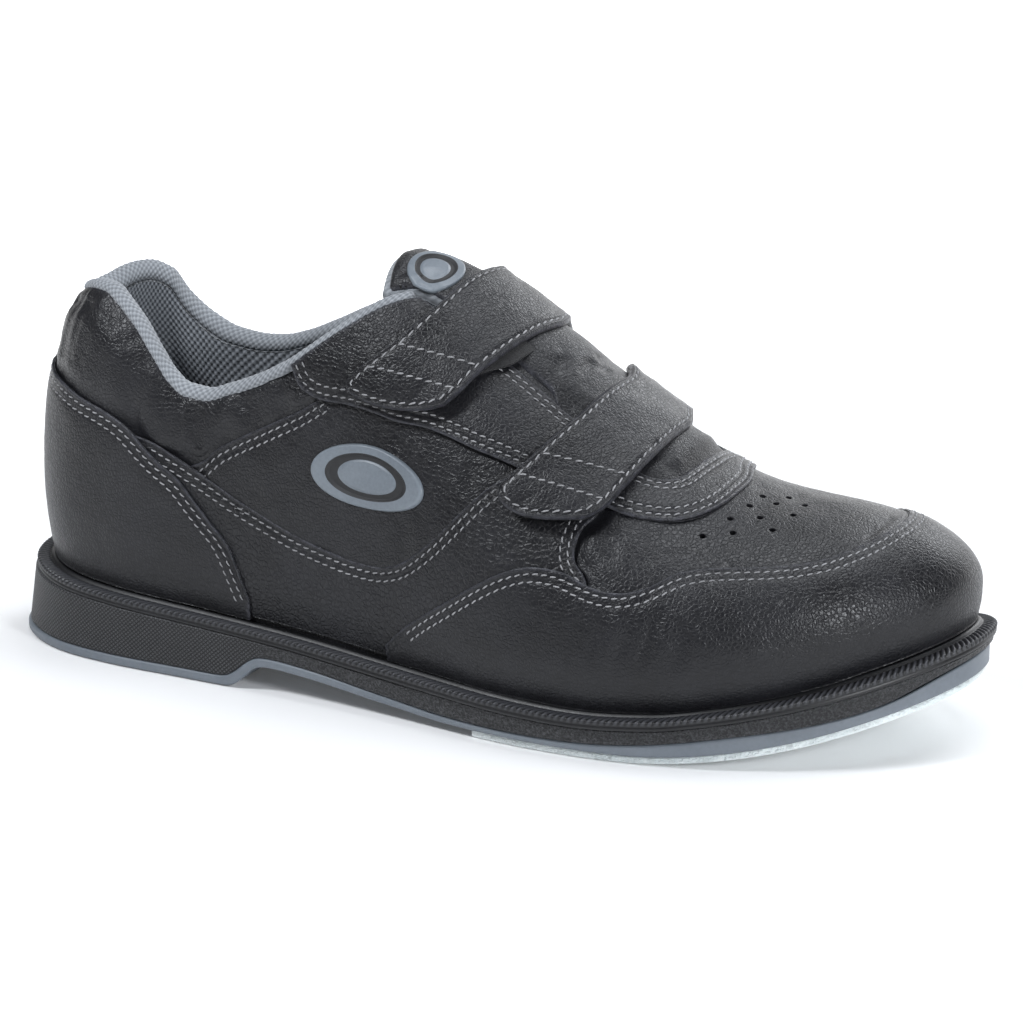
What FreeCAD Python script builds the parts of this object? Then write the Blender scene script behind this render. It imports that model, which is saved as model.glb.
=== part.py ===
import FreeCAD, Part
import math
import os

# Two-strap bowling shoe, right foot, in millimetres. The toe points along +X, the outer (lateral)
# side is -Y, +Z is up and the sole rests on z = 0.
# The upper is built in thin layers on one lasted surface: each leather panel, lining and strap is
# a curved slab between two offsets of that surface. The sole layers are cut between a plan
# outline and a side profile.

# ---------------------------------------------------------------- driving dimensions
ORIGIN_DX, ORIGIN_DY = 1.19, 1.62    # moves the design frame: origin under the middle of the shoe

# Plan (x, y) of the welt's outer edge: heel back, outer side, toe tip, inner side
OUTLINE = [
    (-151.4, 0.0), (-146.1, -18.4), (-131.5, -32.0), (-109.8, -38.0), (-80.0, -40.4),
    (-45.0, -43.5), (-10.2, -48.4), (24.7, -54.6), (55.0, -55.8), (85.0, -51.0),
    (111.9, -40.9), (132.9, -25.8), (147.4, -8.2), (152.6, 8.0), (149.4, 26.0),
    (134.4, 41.3), (110.1, 49.5), (80.0, 52.6), (50.0, 50.4), (20.0, 44.1),
    (-15.0, 38.0), (-50.0, 36.0), (-85.0, 37.0), (-112.0, 37.4), (-132.9, 30.9),
    (-146.7, 17.8)]
SMOOTHING_PASSES = 6

# (x, z) of the top of the welt
WELT_TOP = [
    (-152, 24.5), (-120, 22.0), (-100, 20.8), (-50, 18.0), (0, 14.6), (50, 12.8), (75, 14.2),
    (90, 16.6), (120, 23.2), (140, 29.0), (153, 33.2)]
WELT_LEDGE = 6.2                     # width of welt outside the upper
WELT_THICKNESS = 3.0

# Grid of the lasted surface
STATIONS = 240                       # profiles round the shoe
PROFILE_STEPS = 64                   # steps up each profile
PROFILE_RUN = 110.0                  # rough length of a profile, scales fractions to millimetres
WALL_STEPS, ARCH_STEPS = 12, 160     # steps of the raw profile before it is evened out

# Crest of the lasted surface, (x, z) and (x, y), and the ends between which the profiles fan
CREST_Z = [
    (-112, 134), (-60, 136), (-25, 131), (-5, 121), (18, 106), (37, 93.5), (57, 80.5),
    (75, 71.5), (89, 67.5), (102, 65.5)]
CREST_Y = [(-112, 0), (-60, 2), (-20, 4), (20, 5), (60, 6), (102, 7)]
HEEL_FAN_X, TOE_FAN_X, FAN_BLEND = -106.0, 96.0, 7.0

# Shape of the profiles by x: bulge over the welt (outer, inner), height of its widest point,
# and the two exponents of the arch above it
BULGE_OUTER = [
    (-150, 2.4), (-110, 2.4), (-60, 1.5), (-20, 1.8), (30, 3.6), (70, 4.2), (110, 3.4),
    (138, 1.8), (153, 0.8)]
BULGE_INNER = [
    (-150, 2.4), (-110, 2.4), (-60, 0.6), (-10, 0.4), (40, 2.6), (80, 3.2), (110, 2.8),
    (138, 1.6), (153, 0.8)]
BULGE_HEIGHT = [(-150, 26), (-110, 24), (-60, 18), (0, 15), (50, 14), (100, 13), (150, 11)]
ARCH_POWER_PLAN = [
    (-150, 2.1), (-80, 2.1), (-40, 2.3), (0, 2.35), (40, 2.1), (70, 2.1), (100, 2.25),
    (130, 2.2), (153, 2.15)]
ARCH_POWER_Z = [
    (-150, 2.1), (-80, 2.1), (-40, 2.1), (0, 1.95), (40, 1.9), (70, 2.0), (100, 2.05),
    (153, 2.0)]

# Layers as offsets from the lasted surface: (inner face, outer face)
OUTER_LAYER = (-0.33, 0.60)          # heel foxing, mudguard, facing
SIDE_LAYER = (-1.50, -0.62)          # side panels
QUARTER_LAYER = (-2.60, -1.65)       # quarters, vamp
COLLAR_LAYER = (-3.60, -2.75)        # collar leather, toe puff
COUNTER_LAYER = (-4.65, -3.75)       # heel counter
VAMP_LINING_LAYER = (-5.90, -4.80)
FOAM_FACES = (-4.30, -3.72)          # collar foam and lining before the padding swells them
LINING_FACES = (-5.95, -4.85)
BINDING_FACES = (-5.75, -2.75)


# ---------------------------------------------------------------- tables and curves
def value(source, *arguments):
    """A number as it is, or a function of the arguments."""
    return source(*arguments) if callable(source) else source


def spaced(start, end, steps):
    """steps + 1 evenly spaced numbers."""
    return [start + (end - start) * i / steps for i in range(steps + 1)]


def table_at(table, x):
    """Monotone cubic through the (x, value) entries, held constant past both ends."""
    if x <= table[0][0]:
        return table[0][1]
    if x >= table[-1][0]:
        return table[-1][1]
    last = len(table) - 1
    k = 0
    while x > table[k + 1][0]:
        k += 1

    def width(i):
        return table[i + 1][0] - table[i][0]

    def gradient(i):
        return (table[i + 1][1] - table[i][1]) / width(i)

    def slope(i):
        if i == 0:
            return gradient(0)
        if i == last:
            return gradient(last - 1)
        before, after = gradient(i - 1), gradient(i)
        if before * after <= 0:
            return 0.0
        weight_1 = 2 * width(i) + width(i - 1)
        weight_2 = width(i) + 2 * width(i - 1)
        return (weight_1 + weight_2) / (weight_1 / before + weight_2 / after)

    t = (x - table[k][0]) / width(k)
    start_slope, end_slope = slope(k) * width(k), slope(k + 1) * width(k)
    return ((2 * t ** 3 - 3 * t ** 2 + 1) * table[k][1] + (t ** 3 - 2 * t ** 2 + t) * start_slope
            + (-2 * t ** 3 + 3 * t ** 2) * table[k + 1][1] + (t ** 3 - t ** 2) * end_slope)


def catmull_rom(p0, p1, p2, p3, t):
    """Point at t on the span from p1 to p2, in any number of coordinates."""
    return tuple(0.5 * (2 * b + (c - a) * t + (2 * a - 5 * b + 4 * c - d) * t * t
                        + (3 * b - a - 3 * c + d) * t ** 3)
                 for a, b, c, d in zip(p0, p1, p2, p3))


def beyond(end, before):
    """The point one step past the end of a row."""
    return tuple(2 * e - b for e, b in zip(end, before))


def resample(points, steps, stretch=1.0):
    """steps + 1 points evenly along a polyline, and its length.

    The second coordinate counts stretch times in the length."""
    run = [0.0]
    for a, b in zip(points, points[1:]):
        run.append(run[-1] + math.hypot(b[0] - a[0], (b[1] - a[1]) * stretch))
    evened, k = [], 0
    for i in range(steps + 1):
        distance = run[-1] * i / steps
        while k < len(run) - 2 and run[k + 1] < distance:
            k += 1
        t = (distance - run[k]) / (run[k + 1] - run[k])
        a, b = points[k], points[k + 1]
        evened.append(tuple(a[c] + (b[c] - a[c]) * t for c in range(2)))
    return evened, run[-1]


def outline_points(count):
    """count points evenly round the smoothed plan outline, and its length."""
    corners = len(OUTLINE)
    fine = []
    for i in range(corners):
        span = [OUTLINE[(i + k) % corners] for k in (-1, 0, 1, 2)]
        fine += [catmull_rom(*span, k / 24.0) for k in range(24)]
    total = len(fine)
    for _ in range(SMOOTHING_PASSES):
        fine = [tuple((fine[i - 2][c] + 4 * fine[i - 1][c] + 6 * fine[i][c]
                       + 4 * fine[(i + 1) % total][c] + fine[(i + 2) % total][c]) / 16
                      for c in range(2)) for i in range(total)]
    points, length = resample(fine + [fine[0]], count)
    return points[:-1], length


def path(points, count, stretch=PROFILE_RUN):
    """count points evenly along a smooth open curve through the points."""
    padded = [beyond(points[0], points[1])] + points + [beyond(points[-1], points[-2])]
    fine = []
    for i in range(len(points) - 1):
        fine += [catmull_rom(*padded[i:i + 4], k / 12.0) for k in range(12)]
    fine.append(points[-1])
    return resample(fine, count - 1, stretch)[0]


def soft_clamp(x, low, high, blend):
    def soft_plus(v):
        return v if v > 30 else math.log1p(math.exp(v))
    y = low + blend * soft_plus((x - low) / blend)
    return high - blend * soft_plus((high - y) / blend)


def ease(x):
    """Smooth step from 0 to 1."""
    x = min(max(x, 0.0), 1.0)
    return x * x * (3 - 2 * x)


# ---------------------------------------------------------------- the lasted surface
def profile_row(x, y):
    """Points up one profile, from a point of the outline to the crest."""
    crest_x = soft_clamp(x, HEEL_FAN_X, TOE_FAN_X, FAN_BLEND)
    crest_z = table_at(CREST_Z, crest_x)
    dx, dy = crest_x - x, table_at(CREST_Y, crest_x) - y
    reach = math.hypot(dx, dy)
    dx, dy = dx / reach, dy / reach
    outer_share = 0.5 - 0.5 * math.tanh((y - 4) / 14.0)
    bulge = (outer_share * table_at(BULGE_OUTER, x)
             + (1 - outer_share) * table_at(BULGE_INNER, x))
    bulge_height = table_at(BULGE_HEIGHT, x)
    foot_z = table_at(WELT_TOP, x) + 0.6
    raw = []
    for k in range(WALL_STEPS + 1):
        t = k / float(WALL_STEPS)
        raw.append((WELT_LEDGE - bulge * math.sin(math.pi / 2 * t), foot_z + bulge_height * t))
    arch_r, arch_z = WELT_LEDGE - bulge, foot_z + bulge_height
    plan_power = 2 / table_at(ARCH_POWER_PLAN, x)
    z_power = 2 / table_at(ARCH_POWER_Z, x)
    for k in range(1, ARCH_STEPS + 1):
        angle = math.pi / 2 * k / ARCH_STEPS
        raw.append((arch_r + (reach - arch_r) * (1 - max(math.cos(angle), 0.0) ** plan_power),
                    arch_z + (crest_z - arch_z) * math.sin(angle) ** z_power))
    return [(x + dx * r, y + dy * r, z) for r, z in resample(raw, PROFILE_STEPS)[0]]


EDGE, PERIMETER = outline_points(STATIONS)
ROWS = [profile_row(x, y) for x, y in EDGE]
TOE_INDEX = max(range(STATIONS), key=lambda i: EDGE[i][0])
TOE_STATION = TOE_INDEX * PERIMETER / STATIONS


def surface_point(s, w):
    """Point s millimetres round the outline, w from the welt (0) to the crest (1)."""
    position = (s / PERIMETER * STATIONS) % STATIONS
    i = int(position)
    height = min(max(w, 0.0), 1.0) * PROFILE_STEPS
    k = min(int(height), PROFILE_STEPS - 1)
    columns = []
    for shift in (-1, 0, 1, 2):
        row = ROWS[(i + shift) % STATIONS]
        below = row[k - 1] if k > 0 else beyond(row[0], row[1])
        above = row[k + 2] if k + 2 <= PROFILE_STEPS else beyond(row[-1], row[-2])
        columns.append(catmull_rom(below, row[k], row[k + 1], above, height - k))
    return catmull_rom(*columns, position - i)


def subtract(a, b):
    return [a[0] - b[0], a[1] - b[1], a[2] - b[2]]


def cross(a, b):
    return [a[1] * b[2] - a[2] * b[1], a[2] * b[0] - a[0] * b[2], a[0] * b[1] - a[1] * b[0]]


def unit(a):
    length = math.sqrt(a[0] ** 2 + a[1] ** 2 + a[2] ** 2) or 1.0    # a zero vector stays zero
    return [a[0] / length, a[1] / length, a[2] / length]


def shifted(point, normal, offset):
    return tuple(p + n * offset for p, n in zip(point, normal))


def surface_normal(s, w):
    """Outward normal; the step along the outline stays just below the crest."""
    level = min(w, 0.985)
    along = subtract(surface_point(s + 1.5, level), surface_point(s - 1.5, level))
    up = subtract(surface_point(s, min(w + 0.012, 1.0)), surface_point(s, max(w - 0.012, 0.0)))
    return unit(cross(along, up))


def on_upper(s, w, offset):
    """Offset point by station s and fraction w."""
    return shifted(surface_point(s, w), surface_normal(s, w), offset)


# (x, station) from heel to toe on either side
OUTER_STATIONS = [(EDGE[i][0], i * PERIMETER / STATIONS) for i in range(TOE_INDEX + 1)]
INNER_STATIONS = [(EDGE[i % STATIONS][0], i * PERIMETER / STATIONS)
                  for i in range(STATIONS, TOE_INDEX - 1, -1)]


def station_at(table, x):
    low, high = 0, len(table) - 1
    while high - low > 1:
        middle = (low + high) // 2
        if table[middle][0] <= x:
            low = middle
        else:
            high = middle
    t = (x - table[low][0]) / (table[high][0] - table[low][0])
    return table[low][1] + (table[high][1] - table[low][1]) * min(max(t, 0.0), 1.0)


def outer_station(x):
    return station_at(OUTER_STATIONS, x)


def inner_station(x):
    return station_at(INNER_STATIONS, x)


def inner_twin(s):
    """Inner-side station opposite an outer-side one."""
    position = (s / PERIMETER * STATIONS) % STATIONS
    i = int(position)
    x0, x1 = EDGE[i][0], EDGE[(i + 1) % STATIONS][0]
    return inner_station(x0 + (x1 - x0) * (position - i))


def on_arch(x, q, offset):
    """Offset point by x and q: -1 outer welt, 0 crest, +1 inner welt."""
    blend = 0.02                     # the crest is rounded over q = -blend to +blend
    outer, inner = outer_station(x), inner_station(x)
    if q < -blend:
        return on_upper(outer, 1 + q, offset)
    if q > blend:
        return on_upper(inner, 1 - q, offset)
    a, b = on_upper(outer, 1 - blend, offset), on_upper(inner, 1 - blend, offset)
    normals = zip(surface_normal(outer, 0.98), surface_normal(inner, 0.98))
    crest = shifted(surface_point(outer, 1.0), unit([m + n for m, n in normals]), offset)
    t = (q + blend) / (2 * blend)
    return tuple((1 - t) * (1 - 2 * t) * a[i] + 4 * t * (1 - t) * crest[i]
                 + t * (2 * t - 1) * b[i] for i in range(3))


def plan_direction(row):
    """Unit plan direction of a profile from welt to crest, and its plan length."""
    dx, dy = row[-1][0] - row[0][0], row[-1][1] - row[0][1]
    length = math.hypot(dx, dy)
    return dx / length, dy / length, length


DIRECTIONS = [plan_direction(row) for row in ROWS]


def height_on_row(i, reach):
    """Height of profile i at a plan distance from its foot."""
    row = ROWS[i]
    dx, dy, length = DIRECTIONS[i]

    def reach_of(k):
        return (row[k][0] - row[0][0]) * dx + (row[k][1] - row[0][1]) * dy
    reach = min(reach, length)
    low, high = 0, PROFILE_STEPS
    while high - low > 1:
        middle = (low + high) // 2
        if reach_of(middle) <= reach:
            low = middle
        else:
            high = middle
    r0, r1 = reach_of(low), reach_of(high)
    t = (reach - r0) / (r1 - r0) if r1 > r0 else 0.0
    return row[low][2] + (row[high][2] - row[low][2]) * min(max(t, 0), 1)


def height_over(x, y):
    """Height of the lasted surface over a plan point of the forefoot."""
    best = None
    previous = None
    for i in range(int(STATIONS * 0.24), int(STATIONS * 0.80)):
        foot = ROWS[i][0]
        dx, dy, length = DIRECTIONS[i]
        side = (x - foot[0]) * dy - (y - foot[1]) * dx
        reach = (x - foot[0]) * dx + (y - foot[1]) * dy
        # the point lies between this profile and the one before
        if previous is not None and previous[0] * side <= 0 and -2 < reach < length + 1.5:
            t = previous[0] / (previous[0] - side) if previous[0] != side else 0.0
            z = (1 - t) * height_on_row(i - 1, previous[1]) + t * height_on_row(i, reach)
            if best is None or z > best:
                best = z
        previous = (side, reach)
    return best if best is not None else 20.0    # a level for points outside every profile


def on_plan(x, y, offset):
    """Offset point by plan position on the forefoot."""
    h = 1.2
    slope_x = (height_over(x + h, y) - height_over(x - h, y)) / (2 * h)
    slope_y = (height_over(x, y + h) - height_over(x, y - h)) / (2 * h)
    return shifted((x, y, height_over(x, y)), unit([-slope_x, -slope_y, 1.0]), offset)


# ---------------------------------------------------------------- nets and slabs
def vector(p):
    return FreeCAD.Vector(p[0] + ORIGIN_DX, p[1] + ORIGIN_DY, p[2])


def outward(solid):
    if solid.Volume < 0:
        solid.reverse()
    return solid


def slab(net, place, inner, outer):
    """Solid between two offset surfaces.

    net holds rows of parameter pairs, place(a, b, offset) turns them into points, and the
    offsets are numbers or functions of the pair."""
    faces = []
    for offset in (outer, inner):
        surface = Part.BSplineSurface()
        surface.interpolate([[vector(place(a, b, value(offset, a, b))) for a, b in row]
                             for row in net])
        faces.append(surface)

    def border(surface):
        u0, u1, v0, v1 = surface.bounds()
        return [surface.vIso(v0), surface.uIso(u1), surface.vIso(v1), surface.uIso(u0)]
    sides = [Part.makeRuledSurface(a.toShape(), b.toShape(), 1)
             for a, b in zip(border(faces[0]), border(faces[1]))]
    shell = Part.makeShell([face.toShape() for face in faces] + sides)
    shell.sewShape()
    if shell.ShapeType != "Shell":
        shell = shell.Shells[0]
    return outward(Part.makeSolid(shell))


def ruled(starts, ends, count):
    """Net with count points on the straight line between each start and end."""
    return [[tuple(a[c] + (b[c] - a[c]) * j / (count - 1.0) for c in range(2))
             for j in range(count)] for a, b in zip(starts, ends)]


def coons(low, high, start, end, fractions):
    """Net between four sampled edges with common corners.

    low and high run along u at v = 0 and 1, start and end along v at u = 0 and 1."""
    count = len(start)
    net = []
    for i, u in enumerate(fractions):
        row = []
        for j in range(count):
            v = j / (count - 1.0)
            row.append(tuple(
                (1 - v) * low[i][c] + v * high[i][c] + (1 - u) * start[j][c] + u * end[j][c]
                - ((1 - u) * (1 - v) * low[0][c] + u * (1 - v) * low[-1][c]
                   + (1 - u) * v * high[0][c] + u * v * high[-1][c]) for c in range(2)))
        net.append(row)
    return net


def patch(edges, along, across):
    """Coons net through four edge tables: low, high, start, end."""
    low, high, start, end = edges
    return coons(path(low, along), path(high, along), path(start, across), path(end, across),
                 spaced(0.0, 1.0, along - 1))


def put(name, solid):
    if not solid.isValid() or solid.Volume <= 0:
        solid.fix(1e-4, 1e-4, 1e-3)
    solid.exportStep(os.path.join("parts", name + ".step"))


os.makedirs("parts", exist_ok=True)

# ---------------------------------------------------------------- sole: sizes
SPRING_X, SPRING_Z = 64.7, 18.9      # the underside lifts from this station to the toe tip
SPRING_END_X, SPRING_POWER = 152, 1.8
PAD_THICKNESS, PAD_START_X, PAD_END_X, PAD_INSET = 2.2, 18.0, 150.0, 3.4
PAD_GAP = 0.1                        # between slide pad and outsole
LAYER_GAP = 0.05                     # between outsole and midsole
WELT_INNER_EDGE = -9.0               # offset from the outline
BOARD_EDGE = WELT_INNER_EDGE - 0.5
FOOTBED_EDGE = -13.6
SHANK_X0, SHANK_X1, SHANK_WIDTH = -112.0, 8.0, 14.0
CUT_X, CUT_Y = 160.0, 90.0           # half size of the swept profiles
PRISM_Z0, PRISM_Z1 = -5.0, 60.0
SOLE_TOP_Z, SOLE_TOP_OFFSET = 32.0, -0.8
SOLE_POINTS = 120                    # points of the sole outlines, in four arcs

# Height tables (x, z) of the outsole's underside behind the pad, and of its top
OUTSOLE_BOTTOM = [
    (-157, 0), (-66.5, 0), (-64.2, 1.2), (-61.5, 3.6), (-58.8, 6.4), (-56.0, 7.8), (-52, 8.0),
    (-41, 7.3), (-13, 4.2), (10, 2.4), (18, 2.3)]
OUTSOLE_TOP = [
    (-157, 3.0), (-68.5, 3.0), (-65.5, 4.2), (-62.5, 6.8), (-59.5, 9.4), (-56.5, 10.7),
    (-52.5, 10.8), (-41, 10.1), (-13, 6.9), (10.3, 4.9), (33, 4.5), (54, 4.9), (71.5, 6.3),
    (97, 10.3), (125.6, 15.6), (137, 19.6), (143, 23.0), (150, 26.6), (156, 29.0)]
# (x, distance) of the sole's bottom outline outwards from the welt's
SOLE_FLARE = [(-152, 4.5), (-130, 2.0), (-60, 1.0), (20, -1.5), (152, -1.5)]

# x of the points that the profile curves pass through
HEEL_END_X = -66.5
PAD_STEP_X = PAD_START_X - 0.1
BREAST_X = [
    HEEL_END_X, -65.4, -64.2, -63.0, -61.5, -60.2, -58.8, -57.4, -56.0, -54.0, -52.0, -47, -41,
    -34, -27, -20, -13, -6, 2, 10, PAD_STEP_X]
FOREFOOT_X = spaced(PAD_START_X, 60.0, 6) + spaced(64.0, CUT_X, 16)
OUTSOLE_TOP_X = [
    -CUT_X, -140, -120, -100, -84, -74, -68.5, -67, -65.5, -64, -62.5, -61, -59.5, -58, -56.5,
    -54.5, -52.5, -47, -41, -34, -27, -20, -13, -6, 2, 10] + spaced(18.0, 151.0, 19) + [CUT_X]


# ---------------------------------------------------------------- sole: heights and tools
def underside(x):
    if x <= SPRING_X:
        return 0.0
    return SPRING_Z * ((x - SPRING_X) / (SPRING_END_X - SPRING_X)) ** SPRING_POWER


def pad_top(x):
    return underside(x) + PAD_THICKNESS


def outsole_bottom(x):
    return table_at(OUTSOLE_BOTTOM, x) if x < PAD_START_X else pad_top(x) + PAD_GAP


def outsole_top(x):
    return table_at(OUTSOLE_TOP, x)


def midsole_bottom(x):
    return outsole_top(x) + LAYER_GAP


def welt_top(x, above=0.0):
    return table_at(WELT_TOP, x) + above


def midsole_top(x):
    return welt_top(x) - WELT_THICKNESS - 0.1


def outline_wire(offset, z):
    """Outline moved outwards, as four arcs that meet tangentially."""
    points = outline_points(SOLE_POINTS)[0]
    moved = []
    for i in range(SOLE_POINTS):
        a, b = points[i - 1], points[(i + 1) % SOLE_POINTS]
        tx, ty = b[0] - a[0], b[1] - a[1]
        h = math.hypot(tx, ty)
        distance = value(offset, points[i][0])
        moved.append((points[i][0] + ty / h * distance, points[i][1] - tx / h * distance))

    def tangent(i):
        p, q = moved[(i - 1) % SOLE_POINTS], moved[(i + 1) % SOLE_POINTS]
        h = math.hypot(q[0] - p[0], q[1] - p[1])
        return FreeCAD.Vector((q[0] - p[0]) / h, (q[1] - p[1]) / h, 0.0)

    edges = []
    span = SOLE_POINTS // 4
    for first in range(0, SOLE_POINTS, span):
        arc = [moved[(first + i) % SOLE_POINTS] for i in range(span + 1)]
        curve = Part.BSplineCurve()
        curve.interpolate([vector((x, y, z)) for x, y in arc],
                          InitialTangent=tangent(first), FinalTangent=tangent(first + span))
        edges.append(curve.toShape())
    return Part.Wire(edges)


def prism(offset):
    """Upright prism on the offset outline."""
    face = Part.Face(outline_wire(offset, PRISM_Z0))
    return outward(face.extrude(FreeCAD.Vector(0, 0, PRISM_Z1 - PRISM_Z0)))


def side_point(x, z):
    return vector((x, -CUT_Y, z))


def side_curve(xs, height):
    curve = Part.BSplineCurve()
    curve.interpolate([side_point(x, height(x)) for x in xs])
    return curve.toShape()


def side_line(x0, x1, height):
    return Part.makeLine(side_point(x0, height(x0)), side_point(x1, height(x1)))


def side_wall(x, low, high):
    return Part.makeLine(side_point(x, low(x)), side_point(x, high(x)))


def sweep(edges):
    """Closed side profile swept across the shoe."""
    wire = Part.Wire(Part.__sortEdges__(edges))
    return Part.Face(wire).extrude(FreeCAD.Vector(0, 2 * CUT_Y, 0))


def layer(top, bottom, x0=-CUT_X, x1=CUT_X):
    """Swept profile between two height functions, with a point about every 8 mm."""
    xs = spaced(x0, x1, int(math.ceil((x1 - x0) / 8.0)))
    return sweep([side_curve(xs, top), side_wall(x1, bottom, top),
                  side_curve(xs, bottom), side_wall(x0, bottom, top)])


def common(a, b):
    """Largest solid of the overlap; other orders and tolerances guard against an empty result."""
    for first, second in ((a, b), (b, a)):
        for tolerance in (0.0, 1e-4, 1e-3):
            overlap = first.common([second], tolerance)
            solids = sorted(overlap.Solids, key=lambda s: -s.Volume)
            if solids:
                return solids[0]
    raise RuntimeError("no common solid")


# ---------------------------------------------------------------- sole: pieces
def outsole_profile():
    """Flat heel tread, curved heel breast, raised waist and forefoot."""
    return sweep([side_line(-CUT_X, HEEL_END_X, outsole_bottom),
                  side_curve(BREAST_X, outsole_bottom),
                  side_line(PAD_STEP_X, PAD_START_X, outsole_bottom),
                  side_curve(FOREFOOT_X, outsole_bottom),
                  side_wall(CUT_X, outsole_bottom, outsole_top),
                  side_curve(OUTSOLE_TOP_X, outsole_top),
                  side_wall(-CUT_X, outsole_bottom, outsole_top)])


def midsole_profile():
    return sweep([side_curve(OUTSOLE_TOP_X, midsole_bottom),
                  side_wall(CUT_X, midsole_bottom, midsole_top),
                  side_curve(spaced(-CUT_X, CUT_X, 40), midsole_top),
                  side_wall(-CUT_X, midsole_bottom, midsole_top)])


def pad_profile():
    """Flat under the ball of the foot, curved up with the toe spring."""
    flat_x = spaced(PAD_START_X, SPRING_X, 6)
    rising_x = spaced(SPRING_X, PAD_END_X, 16)
    return sweep([side_line(PAD_START_X, SPRING_X, underside),
                  side_curve(rising_x, underside),
                  side_wall(PAD_END_X, underside, pad_top),
                  side_curve(flat_x + rising_x[1:], pad_top),
                  side_wall(PAD_START_X, underside, pad_top)])


def build_sole():
    plan = outward(Part.makeLoft(
        [outline_wire(lambda x: table_at(SOLE_FLARE, x), PRISM_Z0),
         outline_wire(SOLE_TOP_OFFSET, SOLE_TOP_Z)], True, True))
    put("outsole", common(plan, outsole_profile()))
    put("midsole", common(midsole_profile(), plan))
    band = layer(welt_top, lambda x: welt_top(x, -WELT_THICKNESS))
    put("welt", common(prism(0.0), band).cut(prism(WELT_INNER_EDGE)).Solids[0])
    put("slide_pad", common(prism(-PAD_INSET), pad_profile()))
    board = layer(lambda x: welt_top(x, 0.3), lambda x: welt_top(x, -2.0))
    put("insole_board", common(prism(BOARD_EDGE), board))
    bed = layer(lambda x: welt_top(x, 4.4), lambda x: welt_top(x, 0.4))
    put("footbed", common(prism(FOOTBED_EDGE), bed))


def build_shank():
    """Steel strip between midsole and insole board, from the heel seat to the waist."""
    box = Part.makeBox(SHANK_X1 - SHANK_X0, SHANK_WIDTH, 60.0,
                       vector((SHANK_X0, -6.0, PRISM_Z0)))
    put("shank", common(box, layer(lambda x: welt_top(x, -2.05), lambda x: welt_top(x, -3.05),
                                   SHANK_X0, SHANK_X1)))


build_sole()
build_shank()


# ---------------------------------------------------------------- heel foxing and mudguard
# Tables over the upper hold (station s in mm, fraction w). Those of the outer side are mirrored
# to the inner side by taking the inner station at the same x.
BOTTOM_W = 0.012                     # lower edge of the hidden pieces
TRIM_BOTTOM_W = 0.006                # lower edge of the foxing and the mudguard

FOXING_REACH = 110.0
FOXING_TOP = [
    (0.0, 0.480), (9.0, 0.476), (22.5, 0.468), (36.8, 0.462), (45.0, 0.452), (57.4, 0.436),
    (68.1, 0.403), (72.1, 0.377), (78.6, 0.339), (85.8, 0.305), (91.2, 0.263), (96.6, 0.222),
    (103.3, 0.17), (107.0, 0.11), (110.0, 0.05)]
MUDGUARD_START = 159.0
MUDGUARD_TOP = [
    (159.0, 0.040), (165.4, 0.092), (173.1, 0.143), (180.6, 0.19), (191.2, 0.262),
    (200.9, 0.324), (208.6, 0.36), (213.3, 0.371), (219.5, 0.377), (225.3, 0.366),
    (230.8, 0.36), (235.2, 0.365), (240.8, 0.384), (245.9, 0.42), (250.7, 0.464),
    (256.6, 0.489), (262.5, 0.503), (273.5, 0.514), (286.0, 0.521), (297.6, 0.527),
    (311.3, 0.541), (329.0, 0.557), (344.0, 0.567), (352.0, 0.569)]


def heel_band(reach, steps, across, low, high):
    """Net from the inner side round the heel to the outer side.

    Stations count from the heel, inner ones negative. low and high are numbers or functions
    of (station, outer station at the same x)."""
    outer = spaced(0.0, reach, steps)
    pairs = [(inner_twin(s) - PERIMETER, s) for s in outer[:0:-1]] + [(s, s) for s in outer]
    return ruled([(s, value(low, s, twin)) for s, twin in pairs],
                 [(s, value(high, s, twin)) for s, twin in pairs], across)


def build_foxing():
    net = heel_band(FOXING_REACH, 36, 10, TRIM_BOTTOM_W,
                    lambda s, twin: table_at(FOXING_TOP, twin))
    put("heel_foxing", slab(net, on_upper, *OUTER_LAYER))


def build_mudguard():
    outer = spaced(MUDGUARD_START, TOE_STATION, 44)
    pairs = [(s, s) for s in outer] + [(inner_twin(s), s) for s in outer[-2::-1]]
    net = ruled([(s, TRIM_BOTTOM_W) for s, twin in pairs],
                [(s, table_at(MUDGUARD_TOP, twin)) for s, twin in pairs], 11)
    put("toe_mudguard", slab(net, on_upper, *OUTER_LAYER))


build_foxing()
build_mudguard()

# ---------------------------------------------------------------- side panels and quarters
# Edges in the order bottom, top, rear, front
SIDE_PANEL = [
    [(96.0, 0.010), (130.0, 0.010), (165.0, 0.010), (200.0, 0.010), (229.0, 0.012)],
    [(68.0, 0.392), (75.7, 0.381), (85.7, 0.35), (91.1, 0.332), (98.3, 0.307), (107.3, 0.276),
     (119.9, 0.241), (128.8, 0.223), (137.9, 0.212), (146.7, 0.206), (153.9, 0.209),
     (159.0, 0.220), (165.3, 0.248), (174.1, 0.315), (182.2, 0.397), (189.4, 0.475),
     (194.1, 0.523), (201.0, 0.575), (210.0, 0.61), (224.5, 0.625)],
    [(96.0, 0.010), (90.0, 0.10), (82.0, 0.22), (74.0, 0.32), (68.0, 0.392)],
    [(229.0, 0.012), (228.5, 0.15), (227.5, 0.30), (225.5, 0.38), (222.6, 0.401),
     (220.9, 0.428), (220.6, 0.463), (221.4, 0.512), (224.0, 0.562), (224.5, 0.625)]]
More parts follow.
